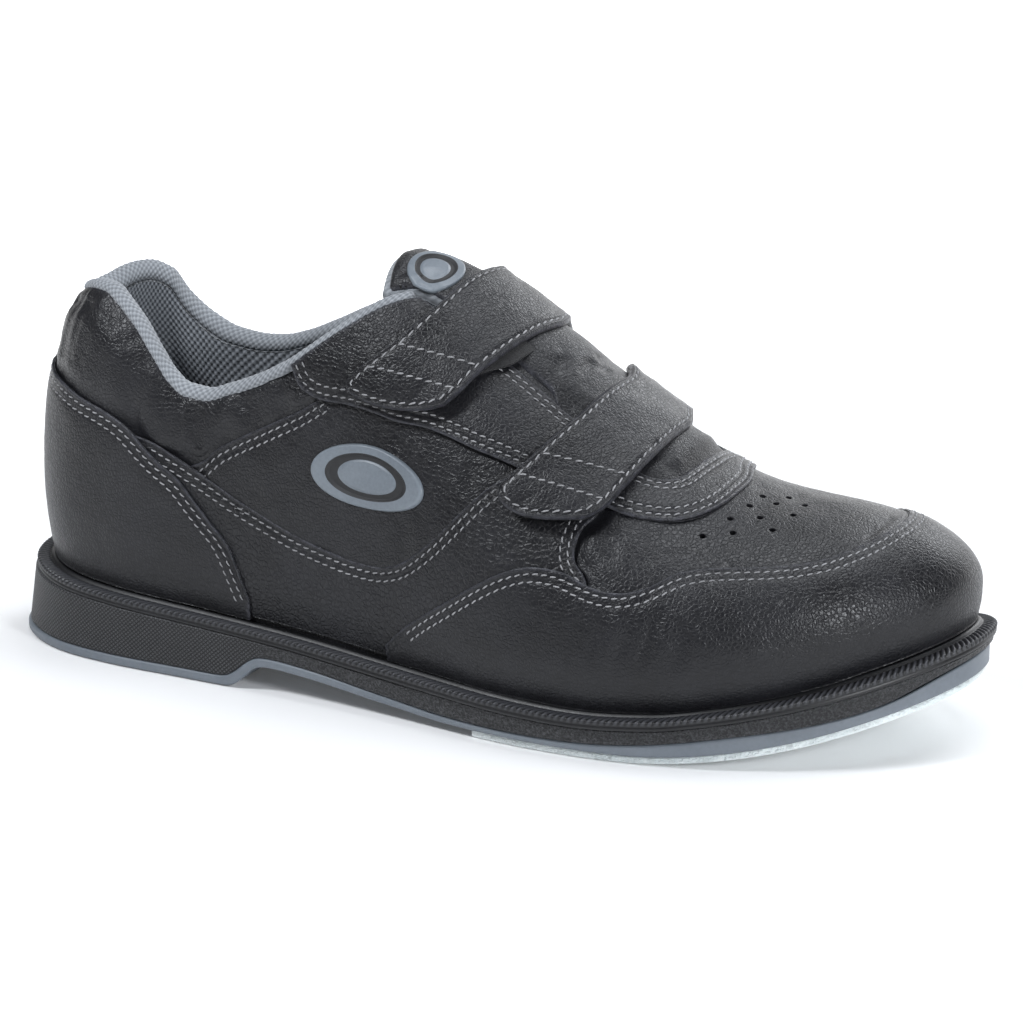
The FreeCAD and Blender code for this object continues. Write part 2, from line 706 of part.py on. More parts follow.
QUARTER = [
    [(62.0, 0.012), (100.0, 0.012), (140.0, 0.012), (180.0, 0.012), (217.0, 0.012)],
    [(62.0, 0.30), (80.0, 0.315), (92.6, 0.352), (98.0, 0.389), (105.8, 0.423), (115.2, 0.460),
     (125.4, 0.503), (131.0, 0.533), (136.0, 0.560), (145.0, 0.585), (160.0, 0.60),
     (180.0, 0.62), (200.0, 0.63), (220.0, 0.62)],
    [(62.0, 0.012), (62.0, 0.15), (62.0, 0.30)],
    [(217.0, 0.012), (217.0, 0.20), (215.5, 0.36), (215.0, 0.46), (216.5, 0.54), (220.0, 0.62)]]


def side_panel_outer(s, w):
    """The side panel thins where it runs under the facing."""
    return SIDE_LAYER[1] - 0.32 * ease((w - 0.50) / 0.08)


def build_both_sides(name, edges, along, across, inner, outer):
    mirrored = [[(inner_twin(s), w) for s, w in edge] for edge in edges]
    for side, side_edges in (("lateral_", edges), ("medial_", mirrored)):
        put(side + name, slab(patch(side_edges, along, across), on_upper, inner, outer))


build_both_sides("side_panel", SIDE_PANEL, 34, 12, SIDE_LAYER[0], side_panel_outer)
build_both_sides("quarter", QUARTER, 30, 11, *QUARTER_LAYER)

# ---------------------------------------------------------------- collar and heel counter
# Top line against distance from the heel; the inner entries past 27 mm come from stations
TOPLINE_OUTER = [
    (0.0, 0.655), (12.0, 0.668), (24.0, 0.694), (34.0, 0.710), (43.6, 0.716), (52.0, 0.700),
    (63.9, 0.651), (72.6, 0.585), (79.0, 0.531), (84.6, 0.503), (91.8, 0.498), (100.3, 0.519),
    (117.1, 0.578), (132.8, 0.664), (146.8, 0.762), (152.2, 0.794), (157.8, 0.829)]
TOPLINE_INNER = sorted(
    [(0.0, 0.655), (10.0, 0.665), (18.0, 0.684), (27.0, 0.700)]
    + [(PERIMETER - s, w) for s, w in [
        (667.8, 0.706), (656.4, 0.688), (648.5, 0.625), (639.1, 0.573), (629.4, 0.544),
        (620.1, 0.539), (611.3, 0.548), (602.2, 0.573), (594.0, 0.606), (584.7, 0.647),
        (572.0, 0.705), (560.0, 0.765), (550.0, 0.815), (545.5, 0.835)]])
COLLAR_BOTTOM = [
    (0.0, 0.40), (22.5, 0.39), (45.0, 0.375), (62.0, 0.345), (75.0, 0.325), (86.0, 0.325),
    (92.6, 0.335), (98.0, 0.355), (105.8, 0.385), (115.2, 0.42), (125.4, 0.46), (133.0, 0.50),
    (142.0, 0.54)]
# The lining stays just below the top line and then runs on under the facing
LINING_DROP = 0.005
LINING_TOP_OUTER = [(s, w - LINING_DROP) for s, w in TOPLINE_OUTER if s < 150] + [
    (152.2, 0.785), (160.0, 0.80), (175.0, 0.79), (195.0, 0.775), (212.0, 0.76)]
LINING_TOP_INNER = [(s, w - LINING_DROP) for s, w in TOPLINE_INNER if s < 150] + [
    (PERIMETER - inner_station(x), w) for x, w in ((-5.0, 0.80), (15.0, 0.79), (39.0, 0.76))]

COLLAR_REACH, PADDING_REACH, LINING_REACH, COUNTER_REACH = 142.0, 146.0, 212.0, 90.0
PADDING_DEPTH = 4.2                  # swelling of the padding at the top line
PADDING_HEIGHT = 0.26                # fraction of the profile that swells below the top line
PADDING_ARC = 0.62                   # share of a half sine wave that shapes the swelling


def topline(s):
    """Top line at a station counted from the heel, inner side negative."""
    return table_at(TOPLINE_OUTER, s) if s >= 0 else table_at(TOPLINE_INNER, -s)


def lining_top(s, twin):
    return table_at(LINING_TOP_OUTER, s) if s >= 0 else table_at(LINING_TOP_INNER, -s)


def padding(s, w):
    """How far the collar padding pushes the lining inwards."""
    rise = (w - (topline(s) - PADDING_HEIGHT)) / PADDING_HEIGHT
    if rise <= 0:
        return 0.0
    swell = 1.0
    if rise < 1:
        swell = math.sin(math.pi * rise * PADDING_ARC) / math.sin(math.pi * PADDING_ARC)
    fade = min(1.0, max(0.0, (150.0 - abs(s)) / 30.0))
    return PADDING_DEPTH * swell * fade


def counter_top(s, twin):
    return min(0.40 - 0.12 * (s / 95.0) ** 2, topline(s) - 0.26, topline(-s) - 0.26)


def build_collar():
    leather = heel_band(COLLAR_REACH, 36, 9, lambda s, twin: table_at(COLLAR_BOTTOM, twin),
                        lambda s, twin: topline(s))
    put("collar_leather", slab(leather, on_upper, *COLLAR_LAYER))
    foam = heel_band(PADDING_REACH, 38, 9, lambda s, twin: topline(s) - 0.235,
                     lambda s, twin: topline(s) - 0.004)
    put("collar_foam", slab(foam, on_upper,
                            lambda s, w: FOAM_FACES[0] - max(padding(s, w), 0.35),
                            FOAM_FACES[1]))
    lining = heel_band(LINING_REACH, 46, 15, BOTTOM_W, lining_top)
    put("collar_lining", slab(lining, on_upper,
                              lambda s, w: LINING_FACES[0] - padding(s, w),
                              lambda s, w: LINING_FACES[1] - padding(s, w)))
    # knitted roll that closes the top of the padded collar
    binding = heel_band(PADDING_REACH, 44, 5, lambda s, twin: topline(s) + 0.003,
                        lambda s, twin: topline(s) + 0.026)
    put("collar_binding", slab(binding, on_upper,
                               lambda s, w: BINDING_FACES[0] - padding(s, min(w, topline(s))),
                               BINDING_FACES[1]))


def build_counter():
    """Hidden stiffener round the heel."""
    net = heel_band(COUNTER_REACH, 26, 9, BOTTOM_W, counter_top)
    put("heel_counter", slab(net, on_upper, *COUNTER_LAYER))


build_collar()
build_counter()

# ---------------------------------------------------------------- toe puff, vamp and its lining
PUFF_START, PUFF_TOP_W = 288.0, 0.78

# Plan (x, y) of the vamp's edges; rear and front run from the outer to the inner side
VAMP_REAR = [
    (46.0, -47.6), (46.6, -42.0), (47.6, -35.0), (51.0, -29.5), (58.0, -25.5), (64.5, -20.5),
    (68.0, -12.0), (69.2, 0.0), (69.4, 7.0), (69.2, 14.0), (68.0, 24.0), (64.5, 30.0),
    (58.0, 34.5), (51.0, 36.8), (47.6, 38.6), (46.6, 40.6), (46.0, 42.6)]
VAMP_FRONT = [
    (118.0, -18.5), (122.5, -10.0), (125.5, 0.0), (126.0, 10.0), (124.0, 20.0), (119.5, 28.0)]
VAMP_OUTER = [
    (46.0, -47.6), (58.0, -47.0), (70.0, -45.4), (85.0, -40.5), (100.0, -33.2),
    (110.0, -26.5), (118.0, -18.5)]
VAMP_INNER = [
    (46.0, 42.6), (58.0, 43.6), (70.0, 43.8), (85.0, 42.6), (100.0, 39.0), (110.0, 35.0),
    (119.5, 28.0)]


def build_toe_puff():
    """Hidden stiffener round the toe."""
    stations = spaced(PUFF_START, inner_twin(PUFF_START), 30)
    net = ruled([(s, BOTTOM_W) for s in stations], [(s, PUFF_TOP_W) for s in stations], 11)
    put("toe_puff", slab(net, on_upper, *COLLAR_LAYER))


def plan_edge(points, fractions):
    """Points of a plan curve at the nearest of 240 steps to each fraction."""
    fine = path(points, 241, 1.0)
    return [fine[int(round(240 * fraction))] for fraction in fractions]


def build_vamp():
    """Plug of leather over the toes, sunk under the facing at its rear."""
    # the points crowd towards both sides, where the upper is steep
    crowded = [0.5 - 0.5 * math.cos(math.pi * i / 33.0) for i in range(34)]
    even = spaced(0.0, 1.0, 15)
    net = coons(plan_edge(VAMP_REAR, crowded), plan_edge(VAMP_FRONT, crowded),
                plan_edge(VAMP_OUTER, even), plan_edge(VAMP_INNER, even), crowded)

    def sunk(face):
        return lambda x, y: face - 0.85 * ease((64.0 - x) / 9.0)
    put("vamp", slab(net, on_plan, sunk(QUARTER_LAYER[0]), sunk(QUARTER_LAYER[1])))


def build_vamp_lining():
    """Vault across the forefoot."""
    net = [[(x, q) for q in spaced(-0.985, 0.985, 40)] for x in spaced(54.0, 90.0, 8)]
    put("vamp_lining", slab(net, on_arch, *VAMP_LINING_LAYER))


build_toe_puff()
build_vamp()
build_vamp_lining()

# ---------------------------------------------------------------- facing
# From here tables hold (x, q), see on_arch. Outer half of the facing's outside and throat edges,
# from the rear forwards to the crest.
FACING_OUTSIDE = [
    (-49.8, -0.400), (-46.7, -0.439), (-42.5, -0.456), (-37.8, -0.462), (-29.9, -0.458),
    (-20.8, -0.458), (-13.1, -0.456), (-4.4, -0.441), (3.3, -0.435), (11.5, -0.432),
    (19.3, -0.425), (24.4, -0.422), (34.5, -0.417), (44.9, -0.410), (52.8, -0.406),
    (58.1, -0.405), (63.8, -0.392), (71.0, -0.360), (77.1, -0.298), (80.7, -0.210),
    (81.8, -0.100), (82.0, 0.0)]
FACING_THROAT = [
    (-14.6, -0.171), (-5.0, -0.180), (4.0, -0.187), (13.1, -0.191), (24.7, -0.203),
    (32.6, -0.216), (44.1, -0.236), (53.8, -0.250), (58.4, -0.250), (62.6, -0.229),
    (65.5, -0.193), (66.6, -0.137), (67.0, -0.07), (67.2, 0.0)]
FACING_INNER_END = (-49.8, 0.375)    # the inner side ends a little higher


def inner_half(table):
    return [(x, -q) for x, q in reversed(table[:-1])]


def build_facing():
    """The U-shaped piece that frames the throat."""
    outside = FACING_OUTSIDE + inner_half(FACING_OUTSIDE)
    outside[-1] = FACING_INNER_END
    throat = FACING_THROAT + inner_half(FACING_THROAT)
    net = ruled(path(outside, 65), path(throat, 65), 7)
    put("facing", slab(net, on_arch, *OUTER_LAYER))


build_facing()

# ---------------------------------------------------------------- tongue
# (x, offset) of the tongue's outer face, (x, half width in q), and the base's inner face below
TONGUE_FACE = [
    (-29, -4.8), (-22, -2.7), (-14, -0.6), (-6, 1.2), (4, 2.1), (15, 2.2), (28, 2.1), (45, 2.0),
    (64, 1.2)]
TONGUE_HALF_WIDTH = [
    (-29, 0.195), (-25, 0.186), (-20, 0.165), (-14, 0.148), (-5, 0.155), (10, 0.165),
    (28, 0.182), (45, 0.190), (54, 0.190), (60, 0.165), (63.5, 0.10)]
TONGUE_BASE_DEPTH = [(40, -6.6), (50, -5.9), (64, -5.4)]
TONGUE_END_X, TONGUE_HINGE_X, TONGUE_FRONT_X = -29.0, 27.0, 63.5


def tongue_net(x0, x1, rows, shrink=0.0):
    net = []
    for x in spaced(x0, x1, rows - 1):
        half = table_at(TONGUE_HALF_WIDTH, x) - shrink
        net.append([(x, q) for q in spaced(-half, half, 12)])
    return net


def tongue_face(depth):
    return lambda x, q: table_at(TONGUE_FACE, x) + depth


def tongue_base_inner(x, q):
    return table_at(TONGUE_FACE, x) + table_at(TONGUE_BASE_DEPTH, x)


def build_tongue():
    """Three layers behind the hinge and one solid base in front of it."""
    # name, rear x, gap to the hinge, inset in q, depths of inner and outer face
    for name, x0, gap, shrink, inner, outer in (
            ("leather", TONGUE_END_X, 0.5, 0.0, -1.0, 0.0),
            ("foam", TONGUE_END_X + 0.4, 0.9, 0.004, -5.3, -1.1),
            ("lining", TONGUE_END_X, 1.3, 0.0, -6.7, -5.8)):
        put("tongue_" + name, slab(tongue_net(x0, TONGUE_HINGE_X - gap, 16, shrink), on_arch,
                                   tongue_face(inner), tongue_face(outer)))
    put("tongue_base", slab(tongue_net(TONGUE_HINGE_X + 0.5, TONGUE_FRONT_X, 12), on_arch,
                            tongue_base_inner, tongue_face(0.0)))


build_tongue()


# ---------------------------------------------------------------- badges
def build_tongue_badge():
    """Woven oval on the tongue."""
    centre_x, half_length, centre_q, half_width = -17.5, 8.0, -0.02, 0.085
    net = []
    for angle in spaced(-1.30, 1.30, 10):
        x = centre_x + half_length * math.sin(angle)
        half = half_width * math.cos(angle)
        net.append([(x, q) for q in spaced(centre_q - half, centre_q + half, 8)])
    put("tongue_badge", slab(net, on_arch, tongue_face(0.06), tongue_face(0.9)))


def build_side_badge():
    """Raised, slightly tilted oval on the outer quarter."""
    centre_s, half_length, centre_w, half_height = 151.0, 19.2, 0.401, 0.068
    rise, lean = 0.020, 10.0         # w gained forwards, s lost per unit of w
    net = []
    for angle in spaced(-1.33, 1.33, 12):
        s = centre_s + half_length * math.sin(angle)
        w = centre_w + rise * math.sin(angle)
        half = half_height * math.cos(angle)
        net.append([(s - lean * half * v, w + half * v) for v in spaced(-1.0, 1.0, 10)])
    put("side_badge", slab(net, on_upper, QUARTER_LAYER[1] + 0.05, QUARTER_LAYER[1] + 1.25))


build_tongue_badge()
build_side_badge()

# ---------------------------------------------------------------- straps
STRAP_THICKNESS = 2.2
TAB_INNER = 3.0                      # offset of the tab's inner face
HINGE_Q = 0.30                       # where the straps leave their sewn ends on the inner side
ANCHOR_LENGTH_Q = 0.085
SLOT_HALF_Q = 0.0022                 # half of the slot between neighbouring pieces
# (q, offset) of the straps' inner face
STRAP_INNER = [
    (-0.60, TAB_INNER), (-0.26, TAB_INNER), (-0.15, 2.75), (0.19, 2.75), (0.24, 1.9),
    (HINGE_Q - 0.02, 1.0), (0.5, 0.80)]
# Patches of the fastener: name, size against the tab, (inner face, outer face). The hook patch
# is under the tab, the loop patch on the shoe below it.
PATCHES = [("_hook_patch", 0.84, (1.95, 2.90)), ("_loop_patch", 0.90, (0.75, 1.85))]

# Edges of the band from the hinge outwards, of the tab beyond it, and the tab's end
STRAPS = {
    "upper_strap": dict(
        rear=[(-2.0, HINGE_Q), (-3.0, 0.15), (-4.6, 0.0), (-7.7, -0.155), (-11.3, -0.227),
              (-15.5, -0.286), (-17.3, -0.305)],
        front=[(18.0, HINGE_Q), (18.4, 0.15), (17.9, 0.0), (15.3, -0.115), (12.6, -0.196),
               (9.5, -0.262)],
        tab_rear=[(-17.3, -0.305), (-19.8, -0.329), (-24.4, -0.369), (-28.1, -0.402)],
        tab_front=[(9.5, -0.262), (6.0, -0.330), (2.8, -0.374)],
        tip=[(-28.1, -0.402), (-28.2, -0.418), (-25.9, -0.432), (-19.8, -0.439),
             (-11.3, -0.428), (-2.2, -0.401), (2.8, -0.374)]),
    "lower_strap": dict(
        rear=[(34.0, HINGE_Q), (37.0, 0.15), (38.4, 0.0), (37.6, -0.133), (36.1, -0.227),
              (34.1, -0.288), (31.5, -0.351), (30.0, -0.380)],
        front=[(55.0, HINGE_Q), (57.6, 0.15), (58.4, 0.0), (58.3, -0.098), (57.9, -0.188),
               (57.1, -0.268), (56.3, -0.320)],
        tab_rear=[(30.0, -0.380), (29.2, -0.396), (26.0, -0.447), (23.8, -0.482)],
        tab_front=[(56.3, -0.320), (55.8, -0.341), (53.9, -0.412), (51.5, -0.453)],
        tip=[(23.8, -0.482), (23.7, -0.503), (25.4, -0.521), (28.4, -0.529), (33.0, -0.529),
             (40.2, -0.512), (48.1, -0.482), (51.5, -0.453)])}


def strap_inner(x, q):
    return table_at(STRAP_INNER, q)


def strap_outer(x, q):
    return strap_inner(x, q) + STRAP_THICKNESS


def moved_q(point, change):
    return (point[0], point[1] + change)


def build_strap(name, rear, front, tab_rear, tab_front, tip):
    # band over the crest, shortened by half a slot at both ends
    band_edges = [[moved_q(edge[0], -SLOT_HALF_Q)] + edge[1:-1] + [moved_q(edge[-1], SLOT_HALF_Q)]
                  for edge in (rear, front)]
    band = ruled(path(band_edges[0], 30), path(band_edges[1], 30), 9)
    put(name + "_band", slab(band, on_arch, strap_inner, strap_outer))

    # pull tab
    low, high = [[moved_q(edge[0], -SLOT_HALF_Q)] + edge[1:] for edge in (tab_rear, tab_front)]
    put(name + "_tab", slab(patch([low, high, [low[0], high[0]], tip], 9, 14),
                            on_arch, strap_inner, strap_outer))

    # fastener patches: the tab's shape shrunk about its middle
    corners = (tab_rear[0], tab_front[0], tab_rear[-1], tab_front[-1])
    centre_x = sum(x for x, q in corners) / 4.0
    centre_q = (sum(q for x, q in corners) - 0.06) / 4.0
    for suffix, size, faces in PATCHES:
        small_low, small_high, small_tip = [
            [(centre_x + (x - centre_x) * size, centre_q + (q - centre_q) * size)
             for x, q in edge] for edge in (low, high, tip)]
        edges = [small_low, small_high, [small_low[0], small_high[0]], small_tip]
        put(name + suffix, slab(patch(edges, 9, 12), on_arch, *faces))

    # sewn end on the inner side
    anchor = [[(x, q) for x in spaced(rear[0][0], front[0][0], 8)]
              for q in spaced(HINGE_Q + SLOT_HALF_Q, HINGE_Q + ANCHOR_LENGTH_Q, 5)]
    put(name + "_anchor", slab(anchor, on_arch, strap_inner, strap_outer))


for strap_name, strap_edges in STRAPS.items():
    build_strap(strap_name, **strap_edges)
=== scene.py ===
"""A leather shoe with two hook-and-loop straps, a ribbed welt and a felt pad under the forefoot.

The toe points to +X, the outer side to -Y, and the sole stands on z = 0. Sizes are millimetres
in a design frame; to_metres() moves them so that the origin is under the middle of the shoe.

The upper is drawn on one lasted surface, which three functions address:
  on_profile(s, w)  s mm round the outline (heel, outer side, toe, inner side), w welt 0 to crest 1
  on_crest(x, q)    x of the crest station, q -1 outer welt, 0 crest, +1 inner welt
  on_plan(x, y)     plan position over the forefoot
"""
import math
from collections import namedtuple

import bmesh
import bpy
import numpy as np
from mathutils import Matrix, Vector
from mathutils.bvhtree import BVHTree


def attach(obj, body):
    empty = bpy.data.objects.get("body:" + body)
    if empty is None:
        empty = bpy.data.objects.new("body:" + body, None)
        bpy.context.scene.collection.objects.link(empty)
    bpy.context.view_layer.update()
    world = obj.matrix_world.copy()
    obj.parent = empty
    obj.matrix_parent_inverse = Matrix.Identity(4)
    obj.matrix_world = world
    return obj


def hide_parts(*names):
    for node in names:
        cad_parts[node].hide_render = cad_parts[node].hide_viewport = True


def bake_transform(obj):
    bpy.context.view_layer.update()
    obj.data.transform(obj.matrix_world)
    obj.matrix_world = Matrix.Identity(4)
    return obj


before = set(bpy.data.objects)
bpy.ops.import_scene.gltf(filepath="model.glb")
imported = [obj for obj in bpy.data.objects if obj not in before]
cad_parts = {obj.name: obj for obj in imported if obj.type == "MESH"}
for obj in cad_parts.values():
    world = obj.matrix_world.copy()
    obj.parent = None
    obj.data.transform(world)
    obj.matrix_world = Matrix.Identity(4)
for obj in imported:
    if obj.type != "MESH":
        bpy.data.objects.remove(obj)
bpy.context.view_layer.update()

# ------------------------------------------------------------------ driving dimensions
ORIGIN_SHIFT = (1.19, 1.62, 0.0)
# x, y of the welt's outer edge: heel back, outer side, toe tip, inner side
OUTLINE = [
    (-151.4, 0), (-146.1, -18.4), (-131.5, -32), (-109.8, -38), (-80, -40.4), (-45, -43.5),
    (-10.2, -48.4), (24.7, -54.6), (55, -55.8), (85, -51), (111.9, -40.9), (132.9, -25.8),
    (147.4, -8.2), (152.6, 8), (149.4, 26), (134.4, 41.3), (110.1, 49.5), (80, 52.6), (50, 50.4),
    (20, 44.1), (-15, 38), (-50, 36), (-85, 37), (-112, 37.4), (-132.9, 30.9), (-146.7, 17.8)]
# x, z
WELT_TOP = [(-152, 24.5), (-120, 22), (-100, 20.8), (-50, 18), (0, 14.6), (50, 12.8), (75, 14.2),
            (90, 16.6), (120, 23.2), (140, 29), (153, 33.2)]
WELT_LEDGE = 6.2                    # ledge of welt outside the upper
WELT_T = 3.0
# the underside lifts from the first station to the toe tip
SPRING_X, SPRING_TIP_X, SPRING_Z, SPRING_POWER = 64.7, 152.0, 18.9, 1.8
OUTSOLE_BOTTOM = [(-157, 0), (-66.5, 0), (-64.2, 1.2), (-61.5, 3.6), (-58.8, 6.4), (-56, 7.8),
                  (-52, 8), (-41, 7.3), (-13, 4.2), (10, 2.4), (18, 2.3)]
OUTSOLE_TOP = [(-157, 3), (-68.5, 3), (-65.5, 4.2), (-62.5, 6.8), (-59.5, 9.4), (-56.5, 10.7),
               (-52.5, 10.8), (-41, 10.1), (-13, 6.9), (10.3, 4.9), (33, 4.5), (54, 4.9),
               (71.5, 6.3), (97, 10.3), (125.6, 15.6), (137, 19.6), (143, 23), (150, 26.6),
               (156, 29)]
PAD_T, PAD_BACK_X, PAD_INSET = 2.2, 18.0, 3.4
# x, how far the bottom outline stands outside the welt's
SOLE_FLARE = [(-152, 4.5), (-130, 2), (-60, 1), (20, -1.5), (152, -1.5)]
# crest of the lasted surface: x, z and x, y
SPINE_Z = [(-112, 134), (-60, 136), (-25, 131), (-5, 121), (18, 106), (37, 93.5), (57, 80.5),
           (75, 71.5), (89, 67.5), (102, 65.5)]
SPINE_Y = [(-112, 0), (-60, 2), (-20, 4), (20, 5), (60, 6), (102, 7)]
HEEL_CENTRE_X, TOE_CENTRE_X = -106.0, 96.0     # the profiles fan round these two stations
# x, bulge beyond the welt on the outer and the inner side; x, height of the bulge
BULGE_OUTER = [(-150, 2.4), (-110, 2.4), (-60, 1.5), (-20, 1.8), (30, 3.6), (70, 4.2), (110, 3.4),
               (138, 1.8), (153, 0.8)]
BULGE_INNER = [(-150, 2.4), (-110, 2.4), (-60, 0.6), (-10, 0.4), (40, 2.6), (80, 3.2), (110, 2.8),
               (138, 1.6), (153, 0.8)]
BULGE_HEIGHT = [(-150, 26), (-110, 24), (-60, 18), (0, 15), (50, 14), (100, 13), (150, 11)]
# x, power of the profile's superellipse, inwards and upwards
POWER_IN = [(-150, 2.1), (-80, 2.1), (-40, 2.3), (0, 2.35), (40, 2.1), (70, 2.1), (100, 2.25),
            (130, 2.2), (153, 2.15)]
POWER_UP = [(-150, 2.1), (-80, 2.1), (-40, 2.1), (0, 1.95), (40, 1.9), (70, 2), (100, 2.05),
            (153, 2)]
STATIONS, SAMPLES = 240, 64         # stations round the shoe, samples up each profile
# leather layers, as offsets of the inner and outer face from the lasted surface
TOP_LAYER = (-0.33, 0.60)           # heel foxing, mudguard, facing
SIDE_LAYER = (-1.50, -0.62)
QUARTER_LAYER = (-2.60, -1.65)      # quarters, vamp
COLLAR_LAYER = (-3.60, -2.75)
STRAP_T = 2.2
LOOP, HOOK = (0.75, 1.85), (1.95, 2.90)        # faces of the loop and hook tapes
TAB_LIFT = 3.0
HINGE_Q = 0.30                      # where the straps leave their sewn ends, on the inner side
PROFILE_MM = 110.0                  # about the length of a profile


# ------------------------------------------------------------------ curves
def smooth(x):
    x = np.clip(x, 0, 1)
    return x * x * (3 - 2 * x)


def unit(v):
    return v / np.maximum(np.linalg.norm(v, axis=-1, keepdims=True), 1e-12)


def hump(x, middle, width):
    return np.exp(-((x - middle) / width) ** 2)


def lerp(table, x):
    """monotone cubic through the rows of a table, flat beyond both ends"""
    xs, ys = np.array(table, float).T
    step = np.diff(xs)
    rise = np.diff(ys) / step
    slope = np.zeros(len(xs))
    slope[0], slope[-1] = rise[0], rise[-1]
    k = np.nonzero(rise[:-1] * rise[1:] > 0)[0]
    before, after = 2 * step[k + 1] + step[k], step[k + 1] + 2 * step[k]
    slope[k + 1] = (before + after) / (before / rise[k] + after / rise[k + 1])
    x = np.clip(x, xs[0], xs[-1])
    k = np.clip(np.searchsorted(xs, x) - 1, 0, len(xs) - 2)
    t = (x - xs[k]) / step[k]
    return ((2 * t ** 3 - 3 * t ** 2 + 1) * ys[k] + (t ** 3 - 2 * t ** 2 + t) * step[k] * slope[k]
            + (3 * t ** 2 - 2 * t ** 3) * ys[k + 1] + (t ** 3 - t ** 2) * step[k] * slope[k + 1])


def sampled(table, low=-160, high=160, count=500, blur=0.0):
    """fast version of a table, rounded off by a Gaussian where blur is given"""
    xs = np.linspace(low, high, count)
    ys = lerp(table, xs)
    if blur:
        step = xs[1] - xs[0]
        half = int(3 * blur / step)
        kernel = hump(np.arange(-half, half + 1) * step, 0, blur * math.sqrt(2))
        ys = np.convolve(np.pad(ys, half, mode="edge"), kernel / kernel.sum(), mode="valid")
    return lambda x: np.interp(x, xs, ys)


def catmull_weights(t):
    return 0.5 * np.stack([-t + 2 * t * t - t ** 3, 2 - 5 * t * t + 3 * t ** 3,
                           t + 4 * t * t - 3 * t ** 3, -t * t + t ** 3], -1)


def catmull_matrix(count, shares):
    """weights of count points, extended straight at both ends, at shares of the way along"""
    f = np.clip(shares, 0, 1) * (count - 1)
    i = np.clip(np.floor(f).astype(int), 0, count - 2)
    weights = np.zeros((len(shares), count + 2))
    weights[np.arange(len(shares))[:, None], i[:, None] + np.arange(4)] = catmull_weights(f - i)
    extend = np.zeros((count + 2, count))
    extend[1:-1] = np.eye(count)
    extend[0, :2], extend[-1, -2:] = (2, -1), (-1, 2)
    return weights @ extend


def resample(net, us, vs):
    net = np.asarray(net, float)
    return np.einsum("ia,abk,jb->ijk", catmull_matrix(net.shape[0], us), net,
                     catmull_matrix(net.shape[1], vs), optimize=True)


def arc_length(points):
    return np.concatenate([[0], np.cumsum(np.linalg.norm(np.diff(points, axis=0), axis=-1))])


def interp_points(at, arc, points):
    return np.stack([np.interp(at, arc, column) for column in np.transpose(points)], -1)


def even(points, count, across=PROFILE_MM):
    """count points evenly along; across is the millimetres of one unit of the second coordinate"""
    arc = arc_length(points * np.array([1.0, across]))
    return interp_points(np.linspace(0, arc[-1], count), arc, points)


def path(points, count, across=PROFILE_MM):
    """count points evenly along a smooth open curve"""
    points = np.asarray(points, float)
    spans = len(points) - 1
    fine = catmull_matrix(spans + 1, np.linspace(0, 1, 12 * spans + 1)) @ points
    return even(fine, count, across)


def ruled(first, second, count):
    t = np.linspace(0, 1, count)[None, :, None]
    return first[:, None, :] * (1 - t) + second[:, None, :] * t


def coons(low, high, start, end, n, m, plan=False):
    """net between the curves low and high (n points) and start and end (m points).

    Plan nets crowd their points towards start and end, where the upper is steep."""
    u, v = np.linspace(0, 1, n), np.linspace(0, 1, m)
    if plan:
        u = 0.5 - 0.5 * np.cos(np.pi * u)

        def curve(points, shares):
            return path(points, 241, across=1.0)[np.round(240 * shares).astype(int)]
    else:
        def curve(points, shares):
            return path(points, len(shares))
    low, high, start, end = curve(low, u), curve(high, u), curve(start, v), curve(end, v)
    u, v = u[:, None, None], v[None, :, None]
    corners = ((1 - u) * (1 - v) * low[0] + u * (1 - v) * low[-1]
               + (1 - u) * v * high[0] + u * v * high[-1])
    return ((1 - v) * low[:, None] + v * high[:, None] + (1 - u) * start[None]
            + u * end[None] - corners)


# ------------------------------------------------------------------ the lasted surface
def even_outline():
    """points evenly round the softened outline, and its length"""
    points = np.array(OUTLINE)
    near = np.stack([np.roll(points, 1 - k, axis=0) for k in range(4)])
    fine = np.einsum("tk,kic->itc", catmull_weights(np.arange(24) / 24), near).reshape(-1, 2)
    for _ in range(6):
        fine = sum(share * np.roll(fine, k, axis=0)
                   for k, share in zip(range(-2, 3), (1, 4, 6, 4, 1))) / 16
    closed = np.concatenate([fine, fine[:1]])
    arc = arc_length(closed)
    return interp_points(arc[-1] * np.arange(STATIONS) / STATIONS, arc, closed), arc[-1]


def soft_clamp(x, low, high, softness):
    y = low + softness * np.logaddexp(0, (x - low) / softness)
    return high - softness * np.logaddexp(0, (high - y) / softness)


